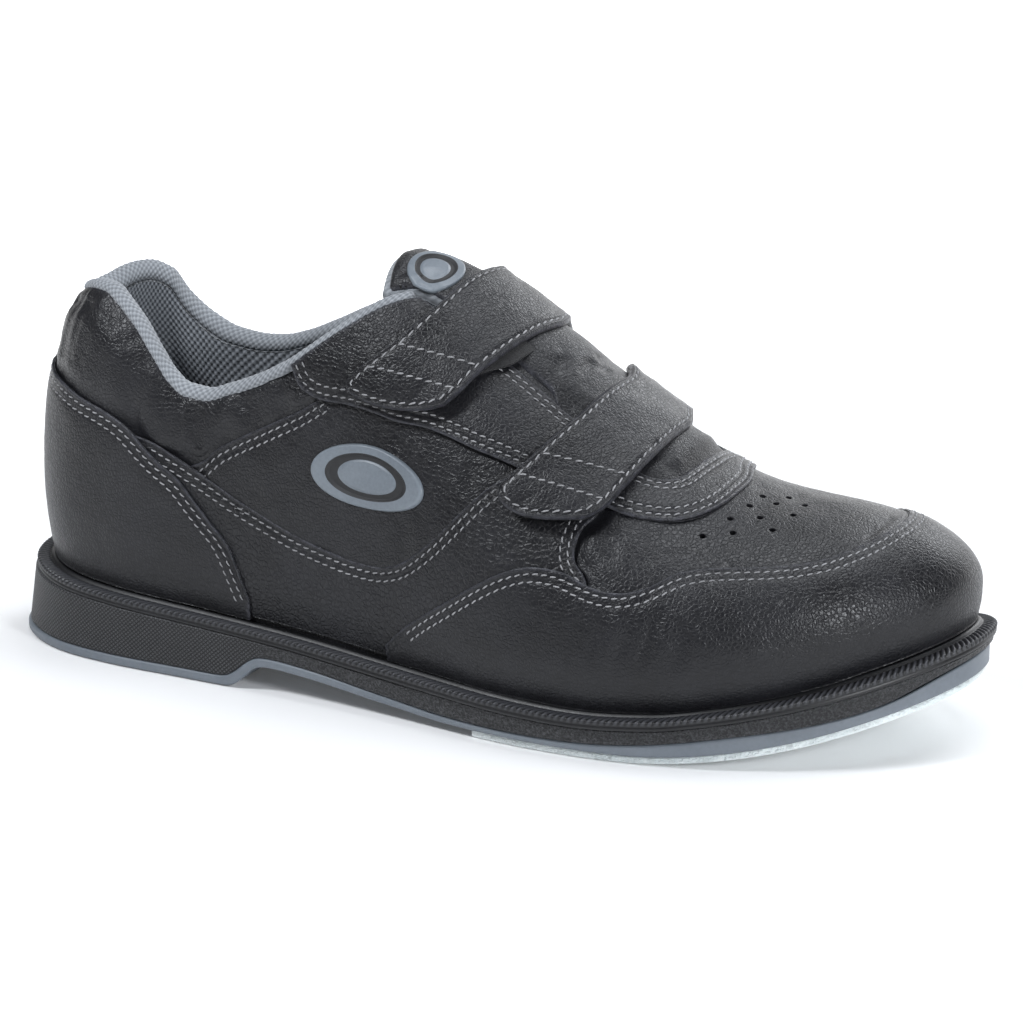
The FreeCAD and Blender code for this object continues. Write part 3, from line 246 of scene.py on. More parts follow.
def lasted_rows():
    """points up each profile: a bulge over the welt, then a superellipse to the crest"""
    x, y = OUT.T
    centre_x = soft_clamp(x, HEEL_CENTRE_X, TOE_CENTRE_X, 7.0)
    inwards = np.stack([centre_x, lerp(SPINE_Y, centre_x)], -1) - OUT
    reach = np.linalg.norm(inwards, axis=1)[:, None]
    inwards = inwards / reach
    outer = 0.5 - 0.5 * np.tanh((y - 4) / 14.0)
    bulge = (outer * lerp(BULGE_OUTER, x) + (1 - outer) * lerp(BULGE_INNER, x))[:, None]
    height, z_welt = lerp(BULGE_HEIGHT, x)[:, None], lerp(WELT_TOP, x)[:, None] + 0.6
    power_in, power_up = lerp(POWER_IN, x)[:, None], lerp(POWER_UP, x)[:, None]
    t = np.arange(13) / 12.0
    angle = math.pi / 2 * np.arange(1, 161) / 160.0
    r_bulge, z_bulge, z_crest = WELT_LEDGE - bulge, z_welt + height, lerp(SPINE_Z, centre_x)
    r_top = r_bulge + (reach - r_bulge) * (1 - np.maximum(np.cos(angle), 0) ** (2 / power_in))
    z_top = z_bulge + (z_crest[:, None] - z_bulge) * np.sin(angle) ** (2 / power_up)
    r = np.concatenate([WELT_LEDGE - bulge * np.sin(math.pi / 2 * t), r_top], 1)
    z = np.concatenate([z_welt + height * t, z_top], 1)
    rows = []
    for i in range(STATIONS):
        profile = np.stack([r[i], z[i]], -1)
        fine = even(profile, SAMPLES + 1, across=1.0)
        rows.append(np.concatenate([OUT[i] + inwards[i] * fine[:, :1], fine[:, 1:]], 1))
    return np.array(rows)


OUT, LEN = even_outline()
ROWS = lasted_rows()
PADDED_ROWS = np.concatenate([2 * ROWS[:, :1] - ROWS[:, 1:2], ROWS,
                              2 * ROWS[:, -1:] - ROWS[:, -2:-1]], axis=1)
TOE_I = int(np.argmax(OUT[:, 0]))
TOE_S = TOE_I * LEN / STATIONS
OUTER_I, INNER_I = np.arange(TOE_I + 1), np.arange(STATIONS, TOE_I - 1, -1)


def station(s):
    """index and remainder of a place round the outline"""
    f = (np.asarray(s, float) / LEN * STATIONS) % STATIONS
    i = np.floor(f).astype(int)
    return i, f - i


def outline(s):
    i, t = station(s)
    weights = catmull_weights(t)
    return sum(weights[..., k, None] * OUT[(i + k - 1) % STATIONS] for k in range(4))


def outline_normal(s):
    along = unit(outline(s + 1.0) - outline(s - 1.0))
    return np.stack([along[..., 1], -along[..., 0]], -1)


def outer_s(x):
    return np.interp(x, OUT[OUTER_I, 0], OUTER_I * LEN / STATIONS)


def inner_s(x):
    return np.interp(x, OUT[INNER_I % STATIONS, 0], INNER_I * LEN / STATIONS)


def twin(s):
    """place on the inner side with the same x as s on the outer side"""
    i, t = station(s)
    return inner_s(OUT[i, 0] + (OUT[(i + 1) % STATIONS, 0] - OUT[i, 0]) * t)


def lasted(s, w):
    s, w = np.broadcast_arrays(np.asarray(s, float), np.asarray(w, float))
    i, t = station(s)
    g = np.clip(w, 0, 1) * SAMPLES
    k = np.minimum(g.astype(int), SAMPLES - 1)
    round_, up = catmull_weights(t), catmull_weights(g - k)
    return sum((round_[..., di] * up[..., dk])[..., None]
               * PADDED_ROWS[(i + di - 1) % STATIONS, k + dk] for di, dk in np.ndindex(4, 4))


def lasted_normal(s, w):
    s, w = np.broadcast_arrays(np.asarray(s, float), np.asarray(w, float))
    w_low, w_high, w_mid = np.maximum(w - 0.012, 0), np.minimum(w + 0.012, 1), np.minimum(w, 0.985)
    return unit(np.cross(lasted(s + 1.5, w_mid) - lasted(s - 1.5, w_mid),
                         lasted(s, w_high) - lasted(s, w_low)))


def on_profile(s, w, offset):
    return lasted(s, w) + lasted_normal(s, w) * np.asarray(offset, float)[..., None]


def on_crest(x, q, offset):
    x, q = np.broadcast_arrays(np.asarray(x, float), np.asarray(q, float))
    offset = np.broadcast_to(np.asarray(offset, float), x.shape)
    blend = 0.02
    s_out, s_in, one = outer_s(x), inner_s(x), np.ones_like(x)
    outer = on_profile(s_out, np.clip(1 + np.minimum(q, -blend), 0, 1), offset)
    inner = on_profile(s_in, np.clip(1 - np.maximum(q, blend), 0, 1), offset)
    normal = unit(lasted_normal(s_out, 0.98 * one) + lasted_normal(s_in, 0.98 * one))
    crest = lasted(s_out, one) + normal * offset[..., None]
    t = ((np.clip(q, -blend, blend) + blend) / (2 * blend))[..., None]
    middle = (1 - t) * (1 - 2 * t) * outer + 4 * t * (1 - t) * crest + t * (2 * t - 1) * inner
    return np.where((q < -blend)[..., None], outer, np.where((q > blend)[..., None], inner, middle))


# grid of heights over the forefoot
GRID_X0, GRID_Y0, GRID_STEP = 38.0, -54.0, 2.0
GRID_SHAPE = (49, 54)


def plan_heights(x, y):
    """height of the lasted surface over plan points, found between neighbouring profiles"""
    rows = ROWS[int(STATIONS * 0.24):int(STATIONS * 0.80)]
    foot, to_crest = rows[:, 0, :2], rows[:, -1, :2] - rows[:, 0, :2]
    reach = np.linalg.norm(to_crest, axis=1)
    inwards = to_crest / reach[:, None]
    radial = np.einsum("kwc,kc->kw", rows[..., :2] - foot[:, None], inwards)
    dx, dy = x[..., None] - foot[:, 0], y[..., None] - foot[:, 1]
    beside = dx * inwards[:, 1] - dy * inwards[:, 0]
    r = dx * inwards[:, 0] + dy * inwards[:, 1]
    r_row = np.minimum(r, reach)
    k = np.arange(len(rows))
    low = np.zeros(r.shape, int)
    for step in (32, 16, 8, 4, 2, 1):          # halving search up the SAMPLES steps
        low = np.where(radial[k, low + step] <= r_row, low + step, low)
    r0, r1 = radial[k, low], radial[k, low + 1]
    share = np.where(r1 > r0, (r_row - r0) / np.where(r1 > r0, r1 - r0, 1), 0)
    z0, z1 = rows[k, low, 2], rows[k, low + 1, 2]
    z = z0 + (z1 - z0) * np.clip(share, 0, 1)
    before, after = beside[..., :-1], beside[..., 1:]
    hit = (before * after <= 0) & (r[..., 1:] > -2) & (r[..., 1:] < reach[1:] + 1.5)
    t = np.where(before != after, before / np.where(before != after, before - after, 1), 0)
    best = np.where(hit, (1 - t) * z[..., :-1] + t * z[..., 1:], -np.inf).max(-1)
    return np.where(np.isfinite(best), best, 20.0)


HEIGHTS = plan_heights(*np.meshgrid(GRID_X0 + GRID_STEP * np.arange(GRID_SHAPE[0]),
                                    GRID_Y0 + GRID_STEP * np.arange(GRID_SHAPE[1]), indexing="ij"))


def plan_z(x, y):
    fx, fy = (np.asarray(x, float) - GRID_X0) / GRID_STEP, (np.asarray(y, float) - GRID_Y0) / GRID_STEP
    i = np.clip(fx.astype(int), 1, GRID_SHAPE[0] - 3)
    j = np.clip(fy.astype(int), 1, GRID_SHAPE[1] - 3)
    wx, wy = catmull_weights(np.clip(fx - i, 0, 1)), catmull_weights(np.clip(fy - j, 0, 1))
    return sum(wx[..., di] * wy[..., dj] * HEIGHTS[i + di - 1, j + dj - 1]
               for di, dj in np.ndindex(4, 4))


def on_plan(x, y, offset):
    x, y = np.broadcast_arrays(np.asarray(x, float), np.asarray(y, float))
    h, z = 1.2, plan_z(x, y)
    normal = unit(np.stack([-(plan_z(x + h, y) - plan_z(x - h, y)) / (2 * h),
                            -(plan_z(x, y + h) - plan_z(x, y - h)) / (2 * h), np.ones_like(z)], -1))
    offset = np.broadcast_to(np.asarray(offset, float), x.shape)
    return np.stack([x, y, z], -1) + normal * offset[..., None]


def place_and_normal(surface, along, across):
    place = surface(along, across, 0.0)
    return place, unit(surface(along, across, 1.0) - place)


# ------------------------------------------------------------------ seam lines of the upper
# s, w on the outer side, unless said otherwise; inner_twin() carries them to the inner side
FOXING_TOP = [(0, 0.48), (9, 0.476), (22.5, 0.468), (36.8, 0.462), (45, 0.452), (57.4, 0.436),
              (68.1, 0.403), (72.1, 0.377), (78.6, 0.339), (85.8, 0.305), (91.2, 0.263),
              (96.6, 0.222), (103.3, 0.17), (107, 0.11), (110, 0.05)]
SIDE_TOP = [(68, 0.392), (75.7, 0.381), (85.7, 0.35), (91.1, 0.332), (98.3, 0.307),
            (107.3, 0.276), (119.9, 0.241), (128.8, 0.223), (137.9, 0.212), (146.7, 0.206),
            (153.9, 0.209), (159, 0.22), (165.3, 0.248), (174.1, 0.315), (182.2, 0.397),
            (189.4, 0.475), (194.1, 0.523), (201, 0.575), (210, 0.61), (224.5, 0.625)]
SIDE_FRONT = [(229, 0.012), (228.5, 0.15), (227.5, 0.3), (225.5, 0.38), (222.6, 0.401),
              (220.9, 0.428), (220.6, 0.463), (221.4, 0.512), (224, 0.562), (224.5, 0.625)]
SIDE_FOOT = [(96, 0.01), (130, 0.01), (165, 0.01), (200, 0.01), (229, 0.012)]
SIDE_BACK = [(96, 0.01), (90, 0.1), (82, 0.22), (74, 0.32), (68, 0.392)]
MUDGUARD_TOP = [(159, 0.04), (165.4, 0.092), (173.1, 0.143), (180.6, 0.19), (191.2, 0.262),
                (200.9, 0.324), (208.6, 0.36), (213.3, 0.371), (219.5, 0.377), (225.3, 0.366),
                (230.8, 0.36), (235.2, 0.365), (240.8, 0.384), (245.9, 0.42), (250.7, 0.464),
                (256.6, 0.489), (262.5, 0.503), (273.5, 0.514), (286, 0.521), (297.6, 0.527),
                (311.3, 0.541), (329, 0.557), (344, 0.567), (352, 0.569)]
QUARTER_TOP = [(62, 0.3), (80, 0.315), (92.6, 0.352), (98, 0.389), (105.8, 0.423),
               (115.2, 0.46), (125.4, 0.503), (131, 0.533), (136, 0.56), (145, 0.585),
               (160, 0.6), (180, 0.62), (200, 0.63), (220, 0.62)]
QUARTER_FOOT = [(62, 0.012), (100, 0.012), (140, 0.012), (180, 0.012), (217, 0.012)]
QUARTER_BACK = [(62, 0.012), (62, 0.15), (62, 0.3)]
QUARTER_FRONT = [(217, 0.012), (217, 0.2), (215.5, 0.36), (215, 0.46), (216.5, 0.54), (220, 0.62)]
COLLAR_SEAM = [(92.6, 0.347), (98, 0.384), (105.8, 0.418), (115.2, 0.455), (125.4, 0.498),
               (131, 0.528), (133.9, 0.543)]
COLLAR_FOOT = [(0, 0.4), (22.5, 0.39), (45, 0.375), (62, 0.345), (75, 0.325), (86, 0.325),
               (92.6, 0.335), (98, 0.355), (105.8, 0.385), (115.2, 0.42), (125.4, 0.46),
               (133, 0.5), (142, 0.54)]
# top line on the outer side, and on the inner side by distance back from the heel
TOP_OUTER = [(0, 0.655), (12, 0.668), (24, 0.694), (34, 0.71), (43.6, 0.716), (52, 0.7),
             (63.9, 0.651), (72.6, 0.585), (79, 0.531), (84.6, 0.503), (91.8, 0.498),
             (100.3, 0.519), (117.1, 0.578), (132.8, 0.664), (146.8, 0.762), (152.2, 0.794),
             (157.8, 0.829)]
TOP_INNER = [(0, 0.655), (10, 0.665), (18, 0.684), (27, 0.7)] + [(LEN - s, w) for s, w in [
    (667.8, 0.706), (656.4, 0.688), (648.5, 0.625), (639.1, 0.573), (629.4, 0.544),
    (620.1, 0.539), (611.3, 0.548), (602.2, 0.573), (594, 0.606), (584.7, 0.647), (572, 0.705),
    (560, 0.765), (550, 0.815)]] + [(LEN - 545.5, 0.835)]
LINING_TOP_OUTER = [(s, w - 0.005) for s, w in TOP_OUTER[:-2]] + [
    (152.2, 0.785), (160, 0.8), (175, 0.79), (195, 0.775), (212, 0.76)]
LINING_TOP_INNER = [(s, w - 0.005) for s, w in TOP_INNER if s < 150] + [
    (LEN - inner_s(x), w) for x, w in ((-5.0, 0.80), (15.0, 0.79), (39.0, 0.76))]
# x, q from the back of the facing to the crest in front
FACING_OUT = [(-49.8, -0.4), (-46.7, -0.439), (-42.5, -0.456), (-37.8, -0.462), (-29.9, -0.458),
              (-20.8, -0.458), (-13.1, -0.456), (-4.4, -0.441), (3.3, -0.435), (11.5, -0.432),
              (19.3, -0.425), (24.4, -0.422), (34.5, -0.417), (44.9, -0.41), (52.8, -0.406),
              (58.1, -0.405), (63.8, -0.392), (71, -0.36), (77.1, -0.298), (80.7, -0.21),
              (81.8, -0.1), (82, 0)]
THROAT = [(-14.6, -0.171), (-5, -0.18), (4, -0.187), (13.1, -0.191), (24.7, -0.203),
          (32.6, -0.216), (44.1, -0.236), (53.8, -0.25), (58.4, -0.25), (62.6, -0.229),
          (65.5, -0.193), (66.6, -0.137), (67, -0.07), (67.2, 0)]
# vamp, x, y: rear edge, front edge, outer and inner edges
VAMP_OUTER = [(46, -48.4), (58, -49.4), (70, -48), (85, -43), (100, -35.4), (110, -28.3),
              (118, -18.5)]
VAMP_INNER = [(46, 43.4), (58, 45.8), (70, 46.2), (85, 45), (100, 41), (110, 36.8), (119.5, 28)]
VAMP_REAR = [(46, -48.4), (46.6, -42), (47.6, -35), (51, -29.5), (58, -25.5), (64.5, -20.5),
             (68, -12), (69.2, 0), (69.4, 7), (69.2, 14), (68, 24), (64.5, 30), (58, 34.5),
             (51, 36.8), (47.6, 38.6), (46.6, 40.6), (46, 43.4)]
VAMP_FRONT = [(118, -18.5), (122.5, -10), (125.5, 0), (126, 10), (124, 20), (119.5, 28)]
# tongue: x, offset of the outer face; x, half width in q; x, q of the throat beside it
TONGUE_OUT = [(-29, -4.8), (-22, -2.7), (-14, -0.6), (-6, 1.2), (4, 2.1), (15, 2.2), (28, 2.1),
              (45, 2), (64, 1.2)]
TONGUE_Q = [(-29, 0.195), (-25, 0.186), (-20, 0.165), (-14, 0.148), (-5, 0.155), (10, 0.165),
            (28, 0.182), (45, 0.19), (54, 0.19), (60, 0.165), (63.5, 0.1)]
THROAT_Q = [(-14.6, 0.171), (-5, 0.18), (4, 0.187), (13.1, 0.191), (24.7, 0.203), (32.6, 0.216),
            (44.1, 0.236), (53.8, 0.25), (58.4, 0.252), (62.6, 0.248), (66, 0.235), (71, 0.215)]
# straps, x, q: rear and front edge of the band and of the free tab, end of the tab
STRAP_EDGES = {
    "upper_strap": (
        [(-2, HINGE_Q), (-3, 0.15), (-4.6, 0), (-7.7, -0.155), (-11.3, -0.227),
         (-15.5, -0.286), (-17.3, -0.305)],
        [(18, HINGE_Q), (18.4, 0.15), (17.9, 0), (15.3, -0.115), (12.6, -0.196), (9.5, -0.262)],
        [(-17.3, -0.305), (-19.8, -0.329), (-24.4, -0.369), (-28.1, -0.402)],
        [(9.5, -0.262), (6, -0.33), (2.8, -0.374)],
        [(-28.1, -0.402), (-28.2, -0.418), (-25.9, -0.432), (-19.8, -0.439), (-11.3, -0.428),
         (-2.2, -0.401), (2.8, -0.374)]),
    "lower_strap": (
        [(34, HINGE_Q), (37, 0.15), (38.4, 0), (37.6, -0.133), (36.1, -0.227), (34.1, -0.288),
         (31.5, -0.351), (30, -0.38)],
        [(55, HINGE_Q), (57.6, 0.15), (58.4, 0), (58.3, -0.098), (57.9, -0.188),
         (57.1, -0.268), (56.3, -0.32)],
        [(30, -0.38), (29.2, -0.396), (26, -0.447), (23.8, -0.482)],
        [(56.3, -0.32), (55.8, -0.341), (53.9, -0.412), (51.5, -0.453)],
        [(23.8, -0.482), (23.7, -0.503), (25.4, -0.521), (28.4, -0.529), (33, -0.529),
         (40.2, -0.512), (48.1, -0.482), (51.5, -0.453)])}
# q, offset of the straps' under face
STRAP_UNDER = [(-0.6, TAB_LIFT), (-0.26, TAB_LIFT), (-0.15, 2.75), (0.19, 2.75), (0.24, 1.9),
               (HINGE_Q - 0.02, 1.0), (0.5, 0.8)]


def inner_twin(table):
    s, w = np.transpose(table)
    return np.stack([twin(s), w], -1)


def both_sides(table):
    """a curve that ends on the crest, carried on down the other side"""
    table = np.array(table, float)
    return np.concatenate([table, table[-2::-1] * (1, -1)])


def round_heel(last, count):
    """stations from the inner side round the heel to the outer, and their outer-side twins"""
    side = np.linspace(0, last, count + 1)
    return (np.concatenate([twin(side[:0:-1]) - LEN, side]),
            np.concatenate([side[:0:-1], side]))


top_outer, top_inner = sampled(TOP_OUTER, 0, 160), sampled(TOP_INNER, 0, 160)


def top_line(s):
    return np.where(s >= 0, top_outer(np.abs(s)), top_inner(np.abs(s)))


def upright_net(s, low, high, count):
    return ruled(np.stack([s, low + 0 * s], -1), np.stack([s, high], -1), count)


# ------------------------------------------------------------------ parameter nets of the panels
foxing_s, foxing_twin = round_heel(110.0, 90)
FOXING_SEAM = np.stack([foxing_s, lerp(FOXING_TOP, foxing_twin)], -1)
FOXING_NET = upright_net(foxing_s, 0.004, FOXING_SEAM[:, 1], 12)

mud_side = np.linspace(159.0, TOE_S, 121)
mud_s = np.concatenate([mud_side, twin(mud_side[-2::-1])])
MUD_SEAM = np.stack([mud_s, lerp(MUDGUARD_TOP, np.append(mud_side, mud_side[-2::-1]))], -1)
MUD_NET = upright_net(mud_s, 0.004, MUD_SEAM[:, 1], 12)

SIDES = {"lateral": np.array, "medial": inner_twin}
SIDE_NET = {side: coons(f(SIDE_FOOT), f(SIDE_TOP), f(SIDE_BACK), f(SIDE_FRONT), 90, 24)
            for side, f in SIDES.items()}
QUARTER_NET = {side: coons(f(QUARTER_FOOT), f(QUARTER_TOP), f(QUARTER_BACK), f(QUARTER_FRONT),
                           80, 24) for side, f in SIDES.items()}

collar_s, collar_twin = round_heel(142.0, 90)
collar_top = top_line(collar_s) - 0.001
COLLAR_NET = upright_net(collar_s, lerp(COLLAR_FOOT, collar_twin), collar_top, 14)
# the part of the collar above the seam below it
seen_foot = np.maximum(np.where(collar_twin < 80, lerp(FOXING_TOP, collar_twin), 0),
                       np.where(collar_twin > 74, lerp(COLLAR_SEAM, collar_twin), 0)) + 0.012
COLLAR_SEEN_NET = upright_net(collar_s, seen_foot, collar_top, 14)

lining_s = round_heel(212.0, 110)[0]
lining_top = np.where(lining_s >= 0, sampled(LINING_TOP_OUTER, 0, 212)(np.abs(lining_s)),
                      sampled(LINING_TOP_INNER, 0, 225)(np.abs(lining_s)))
LINING_NET = upright_net(lining_s, 0.012, lining_top, 16)

VAMP_NET = coons(VAMP_REAR, VAMP_FRONT, VAMP_OUTER, VAMP_INNER, 60, 30, plan=True)

FACING_EDGE = both_sides(FACING_OUT)
FACING_EDGE[-1] = (-49.8, 0.375)
# the front lip ends further back on the inner side
FACING_EDGE[:, 0] -= (5.6 * smooth((FACING_EDGE[:, 1] + 0.06) / 0.26)
                      * smooth((FACING_EDGE[:, 0] - 57.0) / 12.0))
THROAT_EDGE = both_sides(THROAT)
FACING_NET = ruled(path(FACING_EDGE, 220), path(THROAT_EDGE, 220), 12)

tongue_out, tongue_q = sampled(TONGUE_OUT, -31, 70), sampled(TONGUE_Q, -31, 64)
throat_q = sampled(THROAT_Q, -15, 71)
strap_under = sampled(STRAP_UNDER, -0.62, 0.5)


def tongue_top(x, q):
    """outer face of the tongue leather, which dives under the facing where it is sewn in"""
    tucked = np.maximum(smooth((np.abs(q) - (throat_q(x) - 0.050)) / 0.052),
                        smooth((x - 61.5) / 6.0)) * smooth((x - 26.0) / 6.0)
    rim = smooth((np.abs(q) - (tongue_q(np.minimum(x, 58.0)) - 0.045)) / 0.05)
    soft = 1.5 * rim * smooth((x - 2.0) / 9.0) * (1 - tucked)
    return tongue_out(x) - (tongue_out(x) + 0.80) * tucked - soft


def tongue_net(front_x, count, inset, back=0.0, side=0.0, wide=0.0, bow=1.5, tip=0.88):
    """inset and side narrow it, wide takes it out to the throat, bow and tip shape the free end"""
    x0 = -29.4 + back
    x = np.linspace(x0, front_x, count)
    k = np.linspace(-1, 1, 25)
    end = np.clip((x - x0) / 9.0, 0, 1)
    half = tongue_q(x) - (inset + smooth((x + 10.0) / 12.0) * side)
    half = half * (tip + (1 - tip) * np.sqrt(np.maximum(1 - (1 - end) ** 2, 0)))
    half = half + wide * smooth((x - 26.0) / 7.0) * (throat_q(x) + 0.018 - half)
    # the free end is an arch: the middle reaches further back than the corners
    arch = (1 - np.clip((x - x0) / 14.0, 0, 1)) ** 2
    return np.stack([x[:, None] + arch[:, None] * bow * np.abs(k) ** 2.2, half[:, None] * k], -1)


TONGUE_PAD_NET = tongue_net(62.5, 60, inset=-0.006, side=0.034, tip=0.92)
TONGUE_TOP_NET = tongue_net(69.6, 66, inset=0.006, back=2.4, side=-0.007, wide=1.0, bow=1.6,
                            tip=0.90)

SEWN_Q, BAND_Q = 0.385, 0.262       # end of the sewn part; where it meets the band


def below_q(curve, q):
    """the part of a strap edge from q outwards"""
    points = path(curve, 300)
    start = np.interp(q, points[::-1, 1], points[::-1, 0])
    return np.concatenate([[[start, q]], points[points[:, 1] <= q]])


def leaning(edge):
    """strap edge with extra points near its sewn end, moved back towards that end"""
    e = np.array(edge)
    e = np.concatenate([np.linspace(e[0], e[1], 4), np.linspace(e[1], e[2], 5)[1:], e[3:]])
    e[:, 0] -= 4.6 * smooth((e[:, 1] - 0.02) / 0.15)
    return e


def strap_nets(rear, front, tab_rear, tab_front, tip):
    """net of band and tab, net of the sewn end, and the perimeter of band and tab"""
    band = ruled(even(below_q(rear, BAND_Q), 60), even(below_q(front, BAND_Q), 60), 20)
    tab = coons(tab_rear, tab_front, [tab_rear[0], tab_front[0]], tip, 24, 20)
    q = np.linspace(SEWN_Q, BAND_Q, 14)
    ends = []
    for edge in (rear, front):
        points = path(edge, 300)
        x = np.where(q >= HINGE_Q, edge[0][0], np.interp(q, points[::-1, 1], points[::-1, 0]))
        ends.append(np.stack([x, q], -1))
    perimeter = np.concatenate([below_q(rear, BAND_Q), path(tab_rear, 40)[1:], path(tip, 60)[1:-1],
                                path(tab_front, 40)[::-1], below_q(front, BAND_Q)[::-1][1:]])
    return np.concatenate([band, tab[1:]]), ruled(*ends, 20), perimeter


STRAPS = {name: (leaning(e[0]), leaning(e[1]), *map(np.array, e[2:]))
          for name, e in STRAP_EDGES.items()}
STRAP_NETS = {name: strap_nets(*edges) for name, edges in STRAPS.items()}


def strap_top(x, q):
    return strap_under(q) + STRAP_T


# ------------------------------------------------------------------ relief
def noise(p, seed=0):
    """smooth gradient noise, about -1 to 1"""
    p = np.asarray(p, float)
    cell = np.floor(p).astype(np.int64)
    f = p - cell
    fade = f ** 3 * (f * (f * 6 - 15) + 10)
    total = 0
    for corner in np.ndindex(2, 2, 2):
        h = (cell + corner) * (73856093, 19349663, 83492791)
        h = h[..., 0] ^ h[..., 1] ^ h[..., 2] ^ (seed * 374761393)
        h = (h ^ (h >> 13)) & 0xffffffff
        h = (h * 1274126177) & 0xffffffff
        h = h ^ (h >> 16)
        gradient = ((h[..., None] >> np.array([0, 10, 20])) & 1023) / 511.5 - 1
        weight = np.where(corner, fade, 1 - fade).prod(-1)
        total = total + (gradient * (f - corner)).sum(-1) * weight
    return total * 1.35


def leather(p, amount=1.0, seed=0):
    """the small relief of soft leather over a last"""
    return amount * (0.20 * noise(p / 27, seed + 5) + 0.22 * noise(p / 16, seed)
                     + 0.10 * noise(p / 6.5, seed + 1)
                     - 0.07 * np.abs(noise(p / 2.9, seed + 2)) + 0.02)


def channel(distance, rows=(1.8, 4.0)):
    """the leather is pulled down along each row of stitching"""
    return -0.22 * sum(hump(distance, row, 0.62) for row in rows)


def pucker(p, distance, reach=6.0, amount=0.16, scale=2.4, seed=5):
    return amount * noise(p / scale, seed) * hump(distance, 0, reach)


def sewn(c, seed, amount=1.0):
    """leather sewn along its upper edge"""
    return leather(c.place, amount, seed) + channel(c.high) + pucker(c.place, c.high)


def knit(a, b):
    return smooth(0.5 + 0.75 * np.cos(2 * np.pi * a) * np.cos(2 * np.pi * b))


# ------------------------------------------------------------------ mesh tools
def to_metres(p):
    return (np.asarray(p, float) + np.array(ORIGIN_SHIFT)) * 0.001


def rounding(distance, radius):
    """drop of a rounded edge at a distance from it"""
    t = np.clip(distance / radius, 0, 1)
    return radius * (1 - np.sqrt(np.maximum(1 - (1 - t) ** 2, 0)))


def crowd(length, step, at_start, at_end, edge):
    """shares along a length, about a step apart, crowded at the free ends"""
    a = list(edge) if at_start else [0.0]
    b = [length - x for x in edge][::-1] if at_end else [length]
    n = max(int(round((b[0] - a[-1]) / step)), 2)
    return np.array(a + list(np.linspace(a[-1], b[0], n + 1)[1:-1]) + b) / length


def grid_quads(n, m, start=0, flip=False):
    i, j = np.meshgrid(np.arange(n - 1), np.arange(m - 1), indexing="ij")
    a = start + i * m + j
    q = np.stack([a, a + m, a + m + 1, a + 1], -1).reshape(-1, 4)
    return q[:, ::-1] if flip else q


def faces_along(grid, away):
    """whether the grid's faces look along away, judged at its middle"""
    i, j = grid.shape[0] // 2, grid.shape[1] // 2
    g = np.cross(grid[i + 1, j] - grid[i, j], grid[i, j + 1] - grid[i, j])
    return g.dot(away[i, j]) >= 0


def shell(top, under):
    """closed sheet between two grids"""
    n, m = top.shape[:2]
    k = np.arange(n * m).reshape(n, m)
    rim = np.concatenate([k[:, 0], k[-1, 1:], k[-2::-1, -1], k[0, -2:0:-1]])
    after = np.roll(rim, -1)
    walls = np.stack([after, after + n * m, rim + n * m, rim], -1)
    quads = np.concatenate([grid_quads(n, m), grid_quads(n, m, n * m, True), walls])
    if not faces_along(top, top - under):
        quads = quads[:, ::-1]
    return np.concatenate([top.reshape(-1, 3), under.reshape(-1, 3)]), quads


def add_mesh(name, verts, quads, material, body="shoe", tris=None, attrs=None, face_slots=None,
             node="", weld=False):
    """body is what the piece rides on; a piece given (body, other body, start, end) is only baked in
    place and neither bends nor rides on a body
    """
    me = bpy.data.meshes.new(name)
    faces = quads.tolist() + (tris.tolist() if tris is not None else [])
    me.from_pydata(to_metres(verts).tolist(), [], faces)
    me.polygons.foreach_set("use_smooth", [True] * len(faces))
    for m in (material if isinstance(material, list) else [material]):
        me.materials.append(m)
    if face_slots is not None:
        me.polygons.foreach_set("material_index", np.asarray(face_slots, dtype=np.int32))
    for key, values in (attrs or {}).items():
        attribute = me.attributes.new(key, "FLOAT", "POINT")
        attribute.data.foreach_set("value", np.asarray(values, np.float32).ravel())
    me.update()
    o = bpy.data.objects.new(name, me)
    bpy.context.scene.collection.objects.link(o)
    if weld:
        bm = bmesh.new()
        bm.from_mesh(me)
        bmesh.ops.remove_doubles(bm, verts=bm.verts, dist=2e-6)
        bmesh.ops.recalc_face_normals(bm, faces=bm.faces)
        bm.to_mesh(me)
        bm.free()
    if isinstance(body, tuple):
        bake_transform(o)
    else:
        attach(o, body)
    if node:
        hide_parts(*node.split())
    return o


# what a relief function is given: places, parameters, and the distances from the four edges
Sheet = namedtuple("Sheet", "place along across start end low high")
TREES = {}                          # outer faces of the sewn sheets, for what lies on them


